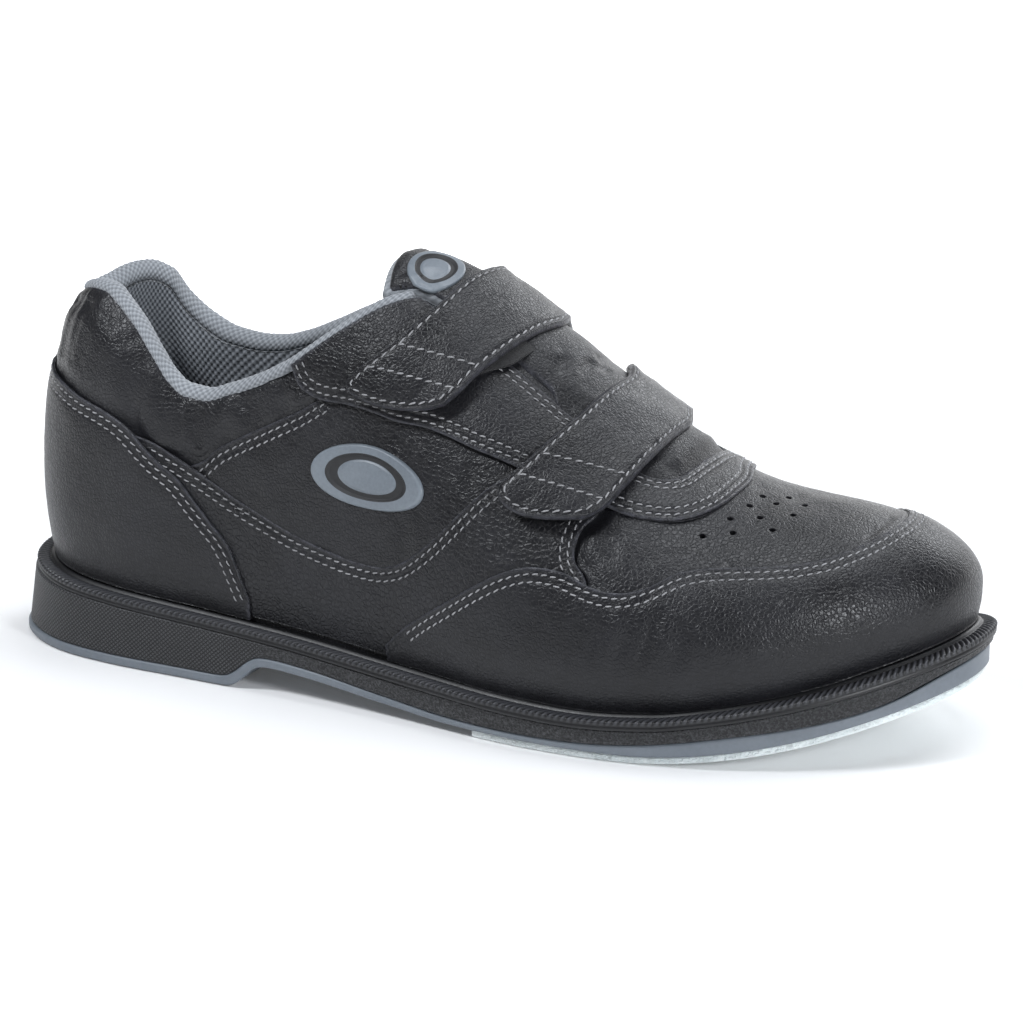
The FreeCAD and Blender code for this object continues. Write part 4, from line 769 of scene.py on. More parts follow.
def slab(name, net, surface, inner, outer, material, step=0.9, radius=0.45, under_radius=0.0,
         free=(1, 1, 1, 1), relief=None, under_relief=None, body="shoe", node="",
         slot="upper_leather", puff=None, attrs=None):
    """sheet between two offsets from a surface, rounded at its free edges (start, end, low, high)"""
    net = np.asarray(net, float)
    place = surface(net[..., 0], net[..., 1], 0.0)
    len_u = np.linalg.norm(np.diff(place, axis=0), axis=-1).sum(0)
    len_v = np.linalg.norm(np.diff(place, axis=1), axis=-1).sum(1)
    edge = (0.0, 0.08, 0.22, 0.45, 0.85)
    if radius >= 0.8:
        edge = tuple(radius * x for x in (0.0, 0.04, 0.13, 0.29, 0.5, 0.75, 1.05))
    us = crowd(len_u.max(), step, free[0], free[1], edge)
    vs = crowd(len_v.max(), step, free[2], free[3], edge)
    along, across = np.moveaxis(resample(net, us, vs), -1, 0)
    place, normal = place_and_normal(surface, along, across)
    lu = np.interp(vs, np.linspace(0, 1, len(len_u)), len_u)[None, :]
    lv = np.interp(us, np.linspace(0, 1, len(len_v)), len_v)[:, None]
    u, v = us[:, None], vs[None, :]
    distances = [u * lu, (1 - u) * lu, v * lv, (1 - v) * lv]
    nearest = np.full(along.shape, 99.0)
    for is_free, distance in zip(free, distances):
        if is_free:
            nearest = np.minimum(nearest, distance)
    top = (outer(along, across) if callable(outer) else outer) - rounding(nearest, radius)
    under = (inner(along, across) if callable(inner) else inner) + 0 * along
    if under_radius:
        under = under + rounding(nearest, under_radius)
    sheet = Sheet(place, along, across, *distances)
    if relief:
        top = top + relief(sheet)
    if under_relief:
        under = under + under_relief(sheet)
    top, under = place + normal * top[..., None], place + normal * under[..., None]
    if puff is not None:
        top = top + resample(puff, us, vs)
    verts, quads = shell(top, under)
    values = {"wear_and_highlight": np.concatenate([hump(nearest, 0, 0.7).ravel(), np.full(along.size, 0.3)])}
    for key, f in (attrs or {}).items():
        values[key] = np.tile(f(sheet).ravel(), 2)
    TREES[name] = BVHTree.FromPolygons(verts.tolist(), grid_quads(*along.shape).tolist())
    return add_mesh(name, verts, quads, material, body, attrs=values, node=node)


def dropped(host, points, normals, reach):
    """points moved down on to a sheet, and which of them met it"""
    landed, met = points.copy(), np.ones(points.shape[:-1], bool)
    for k in np.ndindex(met.shape):
        hit = TREES[host].ray_cast(Vector(points[k] + normals[k] * 9.0), Vector(-normals[k]), reach)[0]
        if hit is None:
            met[k] = False
        else:
            landed[k] = hit
    return landed, met


def beside(line, surface, distance):
    """a parameter line moved sideways by millimetres, then smoothed"""
    a, b = line[:, 0], line[:, 1]
    place, normal = place_and_normal(surface, a, b)
    side = np.cross(normal, unit(np.gradient(place, axis=0)))
    ea, eb = 0.5, 0.004
    pa = (surface(a + ea, b, 0.0) - surface(a - ea, b, 0.0)) / (2 * ea)
    pb = (surface(a, b + eb, 0.0) - surface(a, b - eb, 0.0)) / (2 * eb)
    aa, ab, bb = (pa * pa).sum(-1), (pa * pb).sum(-1), (pb * pb).sum(-1)
    ra, rb = (pa * side).sum(-1) * distance, (pb * side).sum(-1) * distance
    det = np.maximum(aa * bb - ab ** 2, 1e-9)
    line = np.stack([a + (bb * ra - ab * rb) / det, b + (aa * rb - ab * ra) / det], -1)
    for _ in range(6):
        line[1:-1] = 0.25 * line[:-2] + 0.5 * line[1:-1] + 0.25 * line[2:]
    return line


def stitching(name, rows, body="shoe", slot="upper_leather", pitch=2.75, length=2.10,
              radius=0.205, slant=0.34):
    """rows: surface function, parameter line, distance beside it, name of the sewn sheet"""
    all_verts, all_quads, base = [], [], 0
    angle = np.linspace(0, 2 * np.pi, 6, endpoint=False)
    # along each stitch: both ends dip into the leather and thin out
    share = np.linspace(-0.5, 0.5, 5)
    lift = np.array([-0.20, 0.06, 0.13, 0.06, -0.20])[None, :, None]
    thick = np.array([0.62, 0.95, 1.0, 0.95, 0.62])[None, :, None, None] * radius
    i, j = np.arange(4)[None, :, None] * 6, np.arange(6)[None, None, :]
    after = (j + 1) % 6
    for surface, line, distance, host in rows:
        if distance:
            line = beside(line, surface, distance)
        arc = arc_length(surface(line[:, 0], line[:, 1], 0.0))
        count = int(round((arc[-1] - 0.6) / pitch))
        middle = 0.3 + (arc[-1] - 0.6) / count * (np.arange(count) + 0.5)
        at = middle[:, None] + length * share
        place, normal = place_and_normal(surface, np.interp(at, arc, line[:, 0]),
                                         np.interp(at, arc, line[:, 1]))
        place, met = dropped(host, place, normal, 14.0)
        whole = met.all(1)
        place, normal = place[whole], normal[whole]
        side = unit(np.cross(normal, unit(np.gradient(place, axis=1))))
        centre = place + side * (share * slant)[None, :, None] + normal * lift
        ring = centre[:, :, None] + thick * (
            np.cos(angle)[:, None] * side[:, :, None] * 1.15
            + np.sin(angle)[:, None] * normal[:, :, None] * 0.9)
        all_verts.append(ring.reshape(-1, 3))
        first = np.arange(len(place))[:, None] * 30 + base
        k = first[:, :, None]
        all_quads.append(np.stack([k + i + j, k + i + 6 + j, k + i + 6 + after, k + i + after],
                                  -1).reshape(-1, 4))
        all_quads += [first + np.array([cap]) for cap in
                      ([0, 1, 2, 3], [0, 3, 4, 5], [27, 26, 25, 24], [29, 28, 27, 24])]
        base += len(place) * 30
    add_mesh(name, np.concatenate(all_verts), np.concatenate(all_quads), THREAD, body)


# ------------------------------------------------------------------ cloth
# padded panels are blown up a little between their seams
PUFFS = {}
SIMS = []


def cloth(name, net, surface, offset, step, pressure, grow, cap, pins=(1, 1, 1, 1)):
    net = np.asarray(net, float)
    place = surface(net[..., 0], net[..., 1], 0.0)
    len_u = np.linalg.norm(np.diff(place, axis=0), axis=-1).sum(0).max()
    len_v = np.linalg.norm(np.diff(place, axis=1), axis=-1).sum(1).max()
    n, m = max(int(len_u / step) + 1, 5), max(int(len_v / step) + 1, 5)
    u, v = np.linspace(0, 1, n), np.linspace(0, 1, m)
    a, b = np.moveaxis(resample(net, u, v), -1, 0)
    rest = surface(a, b, offset(a, b) if callable(offset) else offset)
    normal = place_and_normal(surface, a, b)[1]
    me = bpy.data.meshes.new("sim_" + name)
    quads = grid_quads(n, m, flip=not faces_along(rest, normal))
    me.from_pydata((rest.reshape(-1, 3) * 0.01).tolist(), [], quads.tolist())
    o = bpy.data.objects.new("sim_" + name, me)
    bpy.context.scene.collection.objects.link(o)
    index = np.arange(n * m).reshape(n, m)
    pinned = set()
    for is_pinned, edge in zip(pins, (index[0], index[-1], index[:, 0], index[:, -1])):
        if is_pinned:
            pinned.update(edge.tolist())
    o.vertex_groups.new(name="pin").add(sorted(pinned), 1.0, "REPLACE")
    modifier = o.modifiers.new("Cloth", "CLOTH")
    s = modifier.settings
    s.quality = 6
    s.mass = 0.2
    s.tension_stiffness = s.compression_stiffness = 12.0
    s.shear_stiffness = 6.0
    s.bending_stiffness = 0.35
    s.use_pressure = True
    s.uniform_pressure_force = pressure
    s.shrink_min = -grow
    s.vertex_group_mass = "pin"
    s.effector_weights.gravity = 0.0
    modifier.collision_settings.use_self_collision = False
    modifier.collision_settings.use_collision = False
    modifier.point_cache.frame_start, modifier.point_cache.frame_end = 1, 20
    SIMS.append((name, o, rest, normal, cap))


def run_cloth():
    if not SIMS:
        return
    scene = bpy.context.scene
    for f in range(1, 19):
        scene.frame_set(f)
    depsgraph = bpy.context.evaluated_depsgraph_get()
    for name, o, rest, normal, cap in SIMS:
        moved = np.empty(rest.size, np.float32)
        o.evaluated_get(depsgraph).data.vertices.foreach_get("co", moved)
        move = moved.reshape(rest.shape).astype(float) * 100.0 - rest
        # eased towards the cap, so that no point stands on it as a flat; hardly any inward move
        size = np.linalg.norm(move, axis=-1, keepdims=True)
        move = move / np.maximum(size, 1e-9) * (cap * np.tanh(size / cap))
        inward = np.minimum((move * normal).sum(-1), 0)[..., None]
        PUFFS[name] = move - normal * inward * 0.8
        me = o.data
        bpy.data.objects.remove(o)
        bpy.data.meshes.remove(me)
    scene.frame_set(1)


# ------------------------------------------------------------------ materials
def shade(colour, factor):
    return tuple(min(factor * x, 1) for x in colour)


class Shader:
    """a material's nodes, with short ways to add the kinds used here"""

    def __init__(self, name):
        self.material = bpy.data.materials.new(name)
        self.material.use_nodes = True
        self.tree = self.material.node_tree

    def fill(self, node, inputs):
        for key, value in inputs.items():
            if isinstance(value, bpy.types.NodeSocket):
                self.tree.links.new(value, node.inputs[key])
            else:
                node.inputs[key].default_value = value

    def node(self, kind, inputs, **settings):
        node = self.tree.nodes.new("ShaderNode" + kind)
        for key, value in settings.items():
            setattr(node, key, value)
        self.fill(node, inputs)
        return node

    def finish(self, inputs):
        self.fill(self.tree.nodes["Principled BSDF"], inputs)

    def millimetres(self, stretch=(1, 1, 1)):
        place = self.node("TexCoord", {}).outputs["Object"]
        scale = tuple(1000.0 * s for s in stretch)
        return self.node("Mapping", {"Vector": place, "Scale": scale}).outputs[0]

    def noise(self, vector, scale, detail=3.0, rough=0.5, distortion=0.0, output="Fac"):
        return self.node("TexNoise", {"Vector": vector, "Scale": scale, "Detail": detail,
                                      "Roughness": rough, "Distortion": distortion}).outputs[output]

    def cells(self, vector, scale, randomness=1.0, feature="DISTANCE_TO_EDGE"):
        return self.node("TexVoronoi", {"Vector": vector, "Scale": scale,
                                        "Randomness": randomness},
                         feature=feature).outputs["Distance"]

    def ramp(self, value, span, to=(0.0, 1.0)):
        return self.node("MapRange", {"Value": value, "From Min": span[0], "From Max": span[1],
                                      "To Min": to[0], "To Max": to[1]}).outputs[0]

    def mix(self, share, *colours):
        a, b = [(*c, 1.0) if isinstance(c, tuple) else c for c in colours]
        return self.node("Mix", {0: share, 6: a, 7: b}, data_type="RGBA").outputs[2]

    def math(self, operation, a, b=0.0, clamp=False):
        return self.node("Math", {0: a, 1: b}, operation=operation, use_clamp=clamp).outputs[0]

    def vector(self, operation, inputs):
        return self.node("VectorMath", inputs, operation=operation).outputs[0]

    def plus(self, a, b, clamp=False):
        return self.math("ADD", a, b, clamp)

    def times(self, a, b, clamp=False):
        return self.math("MULTIPLY", a, b, clamp)

    def minus(self, a, b):
        return self.math("SUBTRACT", a, b)

    def attribute(self, name):
        return self.node("Attribute", {}, attribute_name=name).outputs["Fac"]

    def bump(self, height, depth_mm, strength=0.9):
        node = self.node("Bump", {"Height": height, "Distance": depth_mm * 0.001,
                                  "Strength": strength})
        self.finish({"Normal": node.outputs[0]})


def leather_finish(name, dark, light, grain, rough, depth, holes=False):
    """cracked grain, fine creases in patches, paler worn edges; holes adds perforations that are
    bumped in and painted near-black, painted shade inside them
    """
    sh = Shader(name)
    place = sh.millimetres()
    drift = sh.noise(place, scale=0.35, detail=2.0, output="Color")
    drift = sh.vector("SUBTRACT", {0: drift, 1: (0.5, 0.5, 0.5)})
    drift = sh.vector("SCALE", {0: drift, "Scale": 1.4})
    warped = sh.vector("ADD", {0: place, 1: drift})
    cells, small_cells = sh.cells(warped, 0.80 * grain), sh.cells(warped, 2.3 * grain)
    cells, small_cells = sh.ramp(cells, (0.0, 0.22)), sh.ramp(small_cells, (0.0, 0.25))
    wrinkles = sh.noise(place, scale=0.22, detail=5.0, rough=0.6)
    fine = sh.noise(place, scale=3.2, detail=3.0, rough=0.6)
    crease = sh.noise(sh.millimetres((1.0, 1.0, 0.28)), scale=0.62, detail=4.0, rough=0.55,
                      distortion=0.8)
    crease = sh.times(sh.math("ABSOLUTE", sh.minus(crease, 0.5)), 3.0)
    patch = sh.ramp(sh.noise(place, scale=0.035, detail=2.0), (0.42, 0.62))
    creases = sh.times(sh.times(crease, patch), 0.42)
    height = sh.plus(sh.plus(sh.times(cells, 0.62), sh.times(small_cells, 0.10)),
                     sh.plus(sh.times(wrinkles, 1.6), sh.times(fine, 0.07)))
    height = sh.plus(height, creases)
    if holes:
        dots = sh.cells(place, 0.62, randomness=0.12, feature="F1")
        solid = sh.math("MAXIMUM", sh.ramp(dots, (0.17, 0.30)),
                        sh.minus(1.0, sh.attribute("pf")))
        height = sh.plus(height, sh.times(solid, 2.4))
    broad = sh.noise(place, scale=0.045, detail=3.0, rough=0.55)
    colour = sh.mix(sh.ramp(broad, (0.30, 0.72)), dark, light)
    # painted shade: the crevices between the grain's cells are painted darker
    colour = sh.mix(sh.times(sh.minus(1.0, cells), 0.35), colour, shade(dark, 0.45))
    wear_and_highlight = sh.attribute("wear_and_highlight")
    scuffs = sh.ramp(sh.noise(place, scale=0.5, detail=3.0), (0.35, 0.65), to=(0.15, 0.75))
    colour = sh.mix(sh.times(wear_and_highlight, scuffs, clamp=True), colour, shade(light, 4.6))
    if holes:
        # painted shade: the perforations are painted near-black rather than cut
        colour = sh.mix(sh.minus(1.0, solid), colour, (0.004, 0.004, 0.004))
    gloss = sh.ramp(sh.plus(sh.times(broad, 0.6), sh.times(fine, 0.4)), (0.3, 0.7), to=rough)
    gloss = sh.plus(gloss, sh.times(sh.minus(1.0, cells), 0.12), clamp=True)
    sh.finish({"Base Color": colour, "Roughness": gloss, "Specular IOR Level": 0.40,
               "Sheen Weight": 0.01, "Sheen Roughness": 0.5})
    sh.bump(height, depth)
    return sh.material


def wall_finish(name, dark, light, pitch=1.5):
    """diagonal cross-hatch round the heel, stippled in front, its raised parts painted pale as painted
    highlight and glints and its grooves dark as painted shade (hs along, hz up, hm heel)
    """
    sh = Shader(name)
    place = sh.millimetres()
    along, up, heel = sh.attribute("hs"), sh.attribute("hz"), sh.attribute("hm")
    lines = []
    for slope in (1.15, -1.15):
        wave = sh.plus(sh.times(along, 1.0 / pitch), sh.times(up, slope / pitch))
        wave = sh.math("ABSOLUTE", sh.minus(sh.math("FRACT", wave), 0.5))
        lines.append(sh.ramp(sh.times(wave, 2.0), (0.20, 0.60)))
    hatch = sh.times(*lines)
    stipple = sh.ramp(sh.noise(place, scale=1.5, detail=3.0, rough=0.65), (0.42, 0.66))
    front = sh.minus(1.0, heel)
    height = sh.plus(sh.times(hatch, heel), sh.times(stipple, front))
    broad = sh.noise(place, scale=0.06, detail=3.0)
    # painted highlight on the ridges and stipple specks; the grooves keep the dark colour as painted
    # shade
    painted_highlight = sh.mix(sh.ramp(broad, (0.3, 0.7)), shade(light, 0.8), light)
    colour = sh.mix(height, dark, painted_highlight)
    colour = sh.mix(sh.times(sh.attribute("wear_and_highlight"), 0.5, clamp=True), colour, shade(light, 1.7))
    gloss = sh.ramp(sh.times(stipple, front), (0.0, 1.0), to=(0.52, 0.34))
    sh.finish({"Base Color": colour, "Roughness": gloss})
    fine = sh.noise(place, scale=4.0, detail=2.0)
    sh.bump(sh.plus(height, sh.times(fine, 0.15)), 0.22)
    return sh.material


def plain_finish(name, dark, light, scale, detail, rough, depth, metal=0.0, sheen=0.0,
                 wear_and_highlight=0.0, wear_and_highlight_gain=1.6):
    """mottled colour over fine noise; a paler colour is mixed in by the edge attribute: worn edges,
    and on the welt a painted highlight along the rib crests
    """
    sh = Shader(name)
    place = sh.millimetres()
    fine = sh.noise(place, scale, detail, rough=0.6)
    broad = sh.noise(place, scale=0.05, detail=3.0)
    mottle = sh.plus(sh.times(fine, 0.5), sh.times(broad, 0.5))
    colour = sh.mix(sh.ramp(mottle, (0.35, 0.65)), dark, light)
    if wear_and_highlight:
        colour = sh.mix(sh.times(sh.attribute("wear_and_highlight"), wear_and_highlight, clamp=True), colour,
                        shade(light, wear_and_highlight_gain))
    sh.finish({"Base Color": colour, "Roughness": sh.ramp(fine, (0.3, 0.7), to=rough),
               "Metallic": metal, "Sheen Weight": sheen})
    sh.bump(fine, depth, strength=0.8)
    return sh.material


def knit_finish(name, low, high):
    """cloth whose relief is in the mesh: attribute cav is 0 in the hollows, 1 on the knots; the
    hollows are painted darker as painted shade and the knots paler
    """
    sh = Shader(name)
    place = sh.millimetres()
    fibre = sh.noise(place, scale=4.0, detail=4.0, rough=0.65)
    cavity = sh.plus(sh.attribute("cav"), sh.times(sh.minus(fibre, 0.5), 0.5))
    # painted shade in the hollows, paler on the knots, with fibre noise for uneven tone
    colour = sh.mix(sh.ramp(cavity, (0.1, 0.95)), low, high)
    broad = sh.ramp(sh.noise(place, scale=0.06, detail=2.0), (0.3, 0.7), to=(0.0, 0.18))
    colour = sh.mix(broad, colour, shade(low, 0.6))
    sh.finish({"Base Color": colour, "Roughness": 0.85, "Sheen Weight": 0.2,
               "Specular IOR Level": 0.2})
    sh.bump(fibre, 0.05)
    return sh.material


BLACK = dict(dark=(0.0048, 0.0049, 0.0066), light=(0.0125, 0.0128, 0.0160))
LEATHER = leather_finish("upper_leather", **BLACK, grain=1.0, rough=(0.27, 0.40), depth=0.13)
PEBBLE = leather_finish("pebbled_leather", **BLACK, grain=0.8, rough=(0.28, 0.42), depth=0.20)
STRAP = leather_finish("strap_leather", **BLACK, grain=1.05, rough=(0.27, 0.40), depth=0.125)
TONGUE = leather_finish("perforated_leather", (0.0060, 0.0062, 0.0080), (0.0150, 0.0153, 0.0185),
                        grain=1.1, rough=(0.30, 0.44), depth=0.12, holes=True)
THREAD = plain_finish("sewing_thread", (0.14, 0.14, 0.147), (0.33, 0.33, 0.345), scale=2.6,
                      detail=3.0, rough=(0.55, 0.75), depth=0.05, sheen=0.3)
RUBBER = wall_finish("sole_rubber", (0.0048, 0.0049, 0.0060), (0.0590, 0.0601, 0.0645))
# the welt's paler colour is laid on the rib crests as a painted highlight
WELT = plain_finish("welt_rubber", (0.0030, 0.0031, 0.0040), (0.0110, 0.0113, 0.0130), scale=1.8,
                    detail=4.0, rough=(0.36, 0.52), depth=0.02, wear_and_highlight=1.0, wear_and_highlight_gain=4.6)
OUTSOLE = plain_finish("outsole_rubber", (0.135, 0.156, 0.182), (0.175, 0.198, 0.226), scale=0.8,
                       detail=5.0, rough=(0.42, 0.60), depth=0.03)
FELT = plain_finish("slide_felt", (0.66, 0.73, 0.74), (0.90, 0.94, 0.94), scale=1.4, detail=6.0,
                    rough=(0.85, 0.98), depth=0.25, sheen=0.6)
MESH = knit_finish("lining_mesh", (0.095, 0.104, 0.118), (0.400, 0.425, 0.460))
KNIT = knit_finish("binding_knit", (0.165, 0.177, 0.194), (0.320, 0.340, 0.366))
TAPE = plain_finish("hook_and_loop", (0.0060, 0.0060, 0.0066), (0.020, 0.020, 0.022), scale=1.9,
                    detail=6.0, rough=(0.85, 0.98), depth=0.35, sheen=0.25)
BADGE = plain_finish("badge_rubber", (0.125, 0.146, 0.170), (0.165, 0.190, 0.217), scale=1.1,
                     detail=4.0, rough=(0.34, 0.48), depth=0.02, wear_and_highlight=0.25)
RECESS = plain_finish("badge_recess", (0.0095, 0.0098, 0.0110), (0.0200, 0.0204, 0.0225),
                      scale=1.3, detail=4.0, rough=(0.5, 0.65), depth=0.06)
BOARD = plain_finish("insole_board", (0.030, 0.024, 0.018), (0.060, 0.048, 0.036), scale=0.6,
                     detail=6.0, rough=(0.7, 0.85), depth=0.05)
STIFFENER = plain_finish("stiffener", (0.50, 0.47, 0.40), (0.66, 0.63, 0.56), scale=0.9,
                         detail=5.0, rough=(0.6, 0.75), depth=0.04)
STEEL = plain_finish("shank_steel", (0.30, 0.31, 0.33), (0.50, 0.51, 0.53), scale=0.4,
                     detail=6.0, rough=(0.25, 0.42), depth=0.01, metal=1.0)
FOAM = plain_finish("foam", (0.45, 0.42, 0.34), (0.62, 0.59, 0.50), scale=1.2, detail=5.0,
                    rough=(0.8, 0.95), depth=0.12)
BED = plain_finish("footbed_fabric", (0.022, 0.024, 0.027), (0.060, 0.064, 0.070), scale=1.6,
                   detail=5.0, rough=(0.8, 0.95), depth=0.12, sheen=0.3)


# ------------------------------------------------------------------ one cloth run for all sheets
def vamp_sink(x):
    """the vamp lies deeper towards the back"""
    return 0.85 * smooth((64.0 - x) / 9.0)


def vamp_top(x, y):
    return QUARTER_LAYER[1] - vamp_sink(x)


cloth("collar", COLLAR_SEEN_NET, on_profile, COLLAR_LAYER[1], step=3.2, pins=(0, 0, 1, 1),
      pressure=2.6, grow=0.015, cap=2.3)
for side_ in SIDES:
    cloth("quarter_" + side_[0], QUARTER_NET[side_], on_profile, QUARTER_LAYER[1], step=4.5,
          pressure=0.5, grow=0.004, cap=0.7)
cloth("vamp", VAMP_NET, on_plan, vamp_top, step=4.0, pressure=0.6, grow=0.004, cap=0.8)
cloth("tongue", TONGUE_TOP_NET, on_crest, tongue_top, step=3.0, pins=(0, 1, 1, 1), pressure=2.2,
      grow=0.02, cap=1.0)
for strap_ in STRAPS:
    cloth(strap_, STRAP_NETS[strap_][0], on_crest, strap_top, step=3.0, pressure=1.5, grow=0.018,
          cap=0.75)
run_cloth()

# ------------------------------------------------------------------ sole
sole_flare, welt_top = sampled(SOLE_FLARE), sampled(WELT_TOP)
# blurred, so that the heel breast runs in an S curve
outsole_top = sampled(OUTSOLE_TOP, count=3000, blur=2.0)
outsole_bottom = sampled(OUTSOLE_BOTTOM, high=20, count=3000, blur=1.6)
RIB_PITCH = LEN / 351
INNER_EDGE = -13.0                  # hidden inner edge of the midsole wall
# across the welt: outwards from the outline, up from its top, share of the ribs
WELT_SECTION = np.array([
    (-9.2, -2.92, 0), (-9.2, -0.1, 0), (-6.7, 0, 0), (-6.2, 0.18, 0), (-5.7, 0.55, 0),
    (-5.1, 0.68, 0), (-4.5, 0.5, 0), (-4.15, -0.05, 0), (-3.95, -0.22, 0), (-3.6, -0.05, 0.5),
    (-3.1, 0, 1), (-2.5, 0, 1), (-1.9, 0, 1), (-1.3, -0.02, 1), (-0.75, -0.08, 1),
    (-0.3, -0.25, 1), (-0.06, -0.55, 0.9), (0, -0.95, 0.7), (0, -1.35, 0.35), (-0.2, -1.62, 0),
    (-0.2, -1.85, 0), (0, -2.05, 0), (0, -2.5, 0), (-0.1, -2.92, 0)])
MARGIN_SECTION = np.array([(-9.9, -0.4), (-9.9, 3.6), (-9.2, 4.4), (-8.3, 3.9), (-7.75, 2.6),
                           (-7.55, 1.2), (-7.5, 0.1), (-7.7, -0.4)])


def round_ring(s, outwards, z):
    """points beside the outline, one row per station"""
    xy = outline(s)[:, None] + outline_normal(s)[:, None] * outwards[..., None]
    return np.concatenate([xy, z[..., None]], -1)


def ring_mesh(name, points, material, node="", wear_and_highlight=None, attrs=None):
    """closed ring from a grid that wraps both ways"""
    n, k, _ = points.shape
    i, j = np.meshgrid(np.arange(n), np.arange(k), indexing="ij")
    i2, j2 = (i + 1) % n, (j + 1) % k
    q = np.stack([i * k + j, i2 * k + j, i2 * k + j2, i * k + j2], -1).reshape(-1, 4)
    v = points.reshape(-1, 3)
    volume = sum(np.einsum("ij,ij->i", v[q[:, 0]], np.cross(v[q[:, a]], v[q[:, b]])).sum()
                 for a, b in ((1, 2), (2, 3)))
    if volume < 0:
        q = q[:, ::-1]
    wear_and_highlight = np.zeros(n * k) if wear_and_highlight is None else wear_and_highlight
    add_mesh(name, v, q, material, attrs={"wear_and_highlight": wear_and_highlight, **(attrs or {})}, node=node)


def welt():
    s = LEN * np.arange(2340) / 2340
    out, up, share = WELT_SECTION.T
    phase = 2 * np.pi * (s[:, None] + 0.7 * out) / RIB_PITCH
    rib = smooth(0.5 + 0.62 * np.cos(phase)) * share
    turned = smooth((out + 0.9) / 0.9)         # the rib turns outwards over the edge
    z = welt_top(outline(s)[:, :1]) + up + 0.60 * (rib - 0.6 * share) * (1 - turned)
    # the rib crests are painted paler: a painted highlight along the ribs
    ring_mesh("welt_ribbed", round_ring(s, out + 0.42 * (rib - 0.5 * share) * turned, z), WELT,
              "welt", wear_and_highlight=rib * 0.8)


def midsole():
    s = LEN * np.arange(2340) / 2340
    x, y = outline(s)[:, :1], outline(s)[:, 1:]
    low, high = outsole_top(x) + 0.05, welt_top(x) - WELT_T - 0.1
    z = low + (high - low) * np.linspace(0, 1, 34)
    above, below = z - low, high - z
    edge = rounding(np.minimum(above, below), 0.5)
    heel = smooth((-52.0 - x) / 5.0)
    field = smooth((above - 0.9) / 0.5) * smooth((below - 0.7) / 0.5)
    place = np.stack([x + 0 * z, y + 0 * z, z], -1)
    stipple = 0.07 * noise(place / 0.75, 3) + 0.04 * noise(place / 1.6, 4)
    bead = 0.25 * hump(below, 0.55, 0.35)
    flare = sole_flare(x)
    out = (flare + (-0.8 - flare) * (z + 5) / 37.0 - edge
           + field * (1 - heel) * stipple + bead * (1 - heel))
    z = np.concatenate([z, high, low], 1)
    out = np.concatenate([out, INNER_EDGE + 0 * high, INNER_EDGE + 0 * low], 1)
    ring_mesh("midsole_wall", round_ring(s, out, z), RUBBER, "midsole",
              wear_and_highlight=np.concatenate([edge / 0.5, 0 * high, 0 * low], 1),
              attrs={"hs": s[:, None] + 0 * z, "hz": z, "hm": heel + 0 * z})


def lasting_margin():
    """the lower edge of the upper, turned in under the welt's ledge"""
    s = LEN * np.arange(702) / 702
    xy = outline(s)
    z = welt_top(xy[:, :1])
    out, up = MARGIN_SECTION.T
    z_all = z + up + 0.1 * noise(np.concatenate([xy, z], 1) / 4.0, 81)[:, None]
    ring_mesh("lasting_margin", round_ring(s, out + 0 * z, z_all), LEATHER)


def spring(x):
    return SPRING_Z * np.maximum((x - SPRING_X) / (SPRING_TIP_X - SPRING_X), 0) ** SPRING_POWER


def tread_bottom(x):
    return np.where(x < PAD_BACK_X, outsole_bottom(x), spring(x) + PAD_T + 0.1)


def plan_solid(name, outwards, low, high, material, node, rings, radius, count, rough=None,
               x_min=None):
    """closed solid between two height functions, inside the outline moved outwards"""
    s = LEN * np.arange(count) / count
    edge = outline(s)
    out = outwards(edge[:, 0]) if callable(outwards) else outwards
    edge = edge + outline_normal(s) * (np.zeros(count) + out)[:, None]
    if x_min is not None:
        edge[:, 0] = np.maximum(edge[:, 0], x_min)
    centre_x = np.clip(edge[:, 0], -112.0, 104.0)
    centre_y = np.interp(centre_x, [-112, -50, 20, 60, 104], [0, -3, -3, -1, 5])
    to_centre = np.stack([centre_x, centre_y], -1) - edge
    reach = np.linalg.norm(to_centre, axis=1)
    # rings crowd at the rounded edge, then run in to the centre line
    crowded = np.array([0, 0.04, 0.14, 0.3, 0.5, 0.8, 1.3])[:, None]
    share = np.linspace(0, 1, rings)[1:, None] ** 1.2
    share = np.concatenate([crowded / reach, 1.3 / reach + (1 - 1.3 / reach) * share])
    xy = edge + to_centre * share[..., None]
    drop = np.zeros((len(share), 1))
    drop[:len(crowded)] = rounding(crowded, radius)
    x, ring = xy[..., 0], np.arange(len(share))[:, None]
    faces = []
    for is_top, z in ((False, low(x) + drop), (True, high(x) - drop)):
        points = np.concatenate([xy, z[..., None]], -1)
        if rough:
            points[..., 2] += rough(points, is_top, ring)
        faces.append(points)
    # from the middle of the underside out, over the edge, to the middle of the top
    verts = np.concatenate([faces[0][::-1], faces[1]])
    i, j = np.meshgrid(np.arange(len(verts) - 1), np.arange(count), indexing="ij")
    after = (j + 1) % count
    quads = np.stack([i * count + j, i * count + after, (i + 1) * count + after,
                      (i + 1) * count + j], -1).reshape(-1, 4)
    verts = verts.reshape(-1, 3)
    add_mesh(name, verts, quads, material, attrs={"wear_and_highlight": np.zeros(len(verts))}, node=node,
             weld=True)


def felt_rough(p, is_top, ring):
    if is_top:
        return np.where(ring > 4, 0.10, 0.05) * noise(p / 1.1, 21) + 0.06 * noise(p / 3.0, 22)
    return 0.10 * np.abs(noise(p / 0.9, 23))


def bed_rough(p, is_top, ring):
    if is_top:
        return (0.9 * np.clip(1 - ring / 14.0, 0, 1) ** 2 + 0.12 * noise(p / 2.0, 31)
                + 0.5 * noise(p / 40.0, 32))
    return 0.0


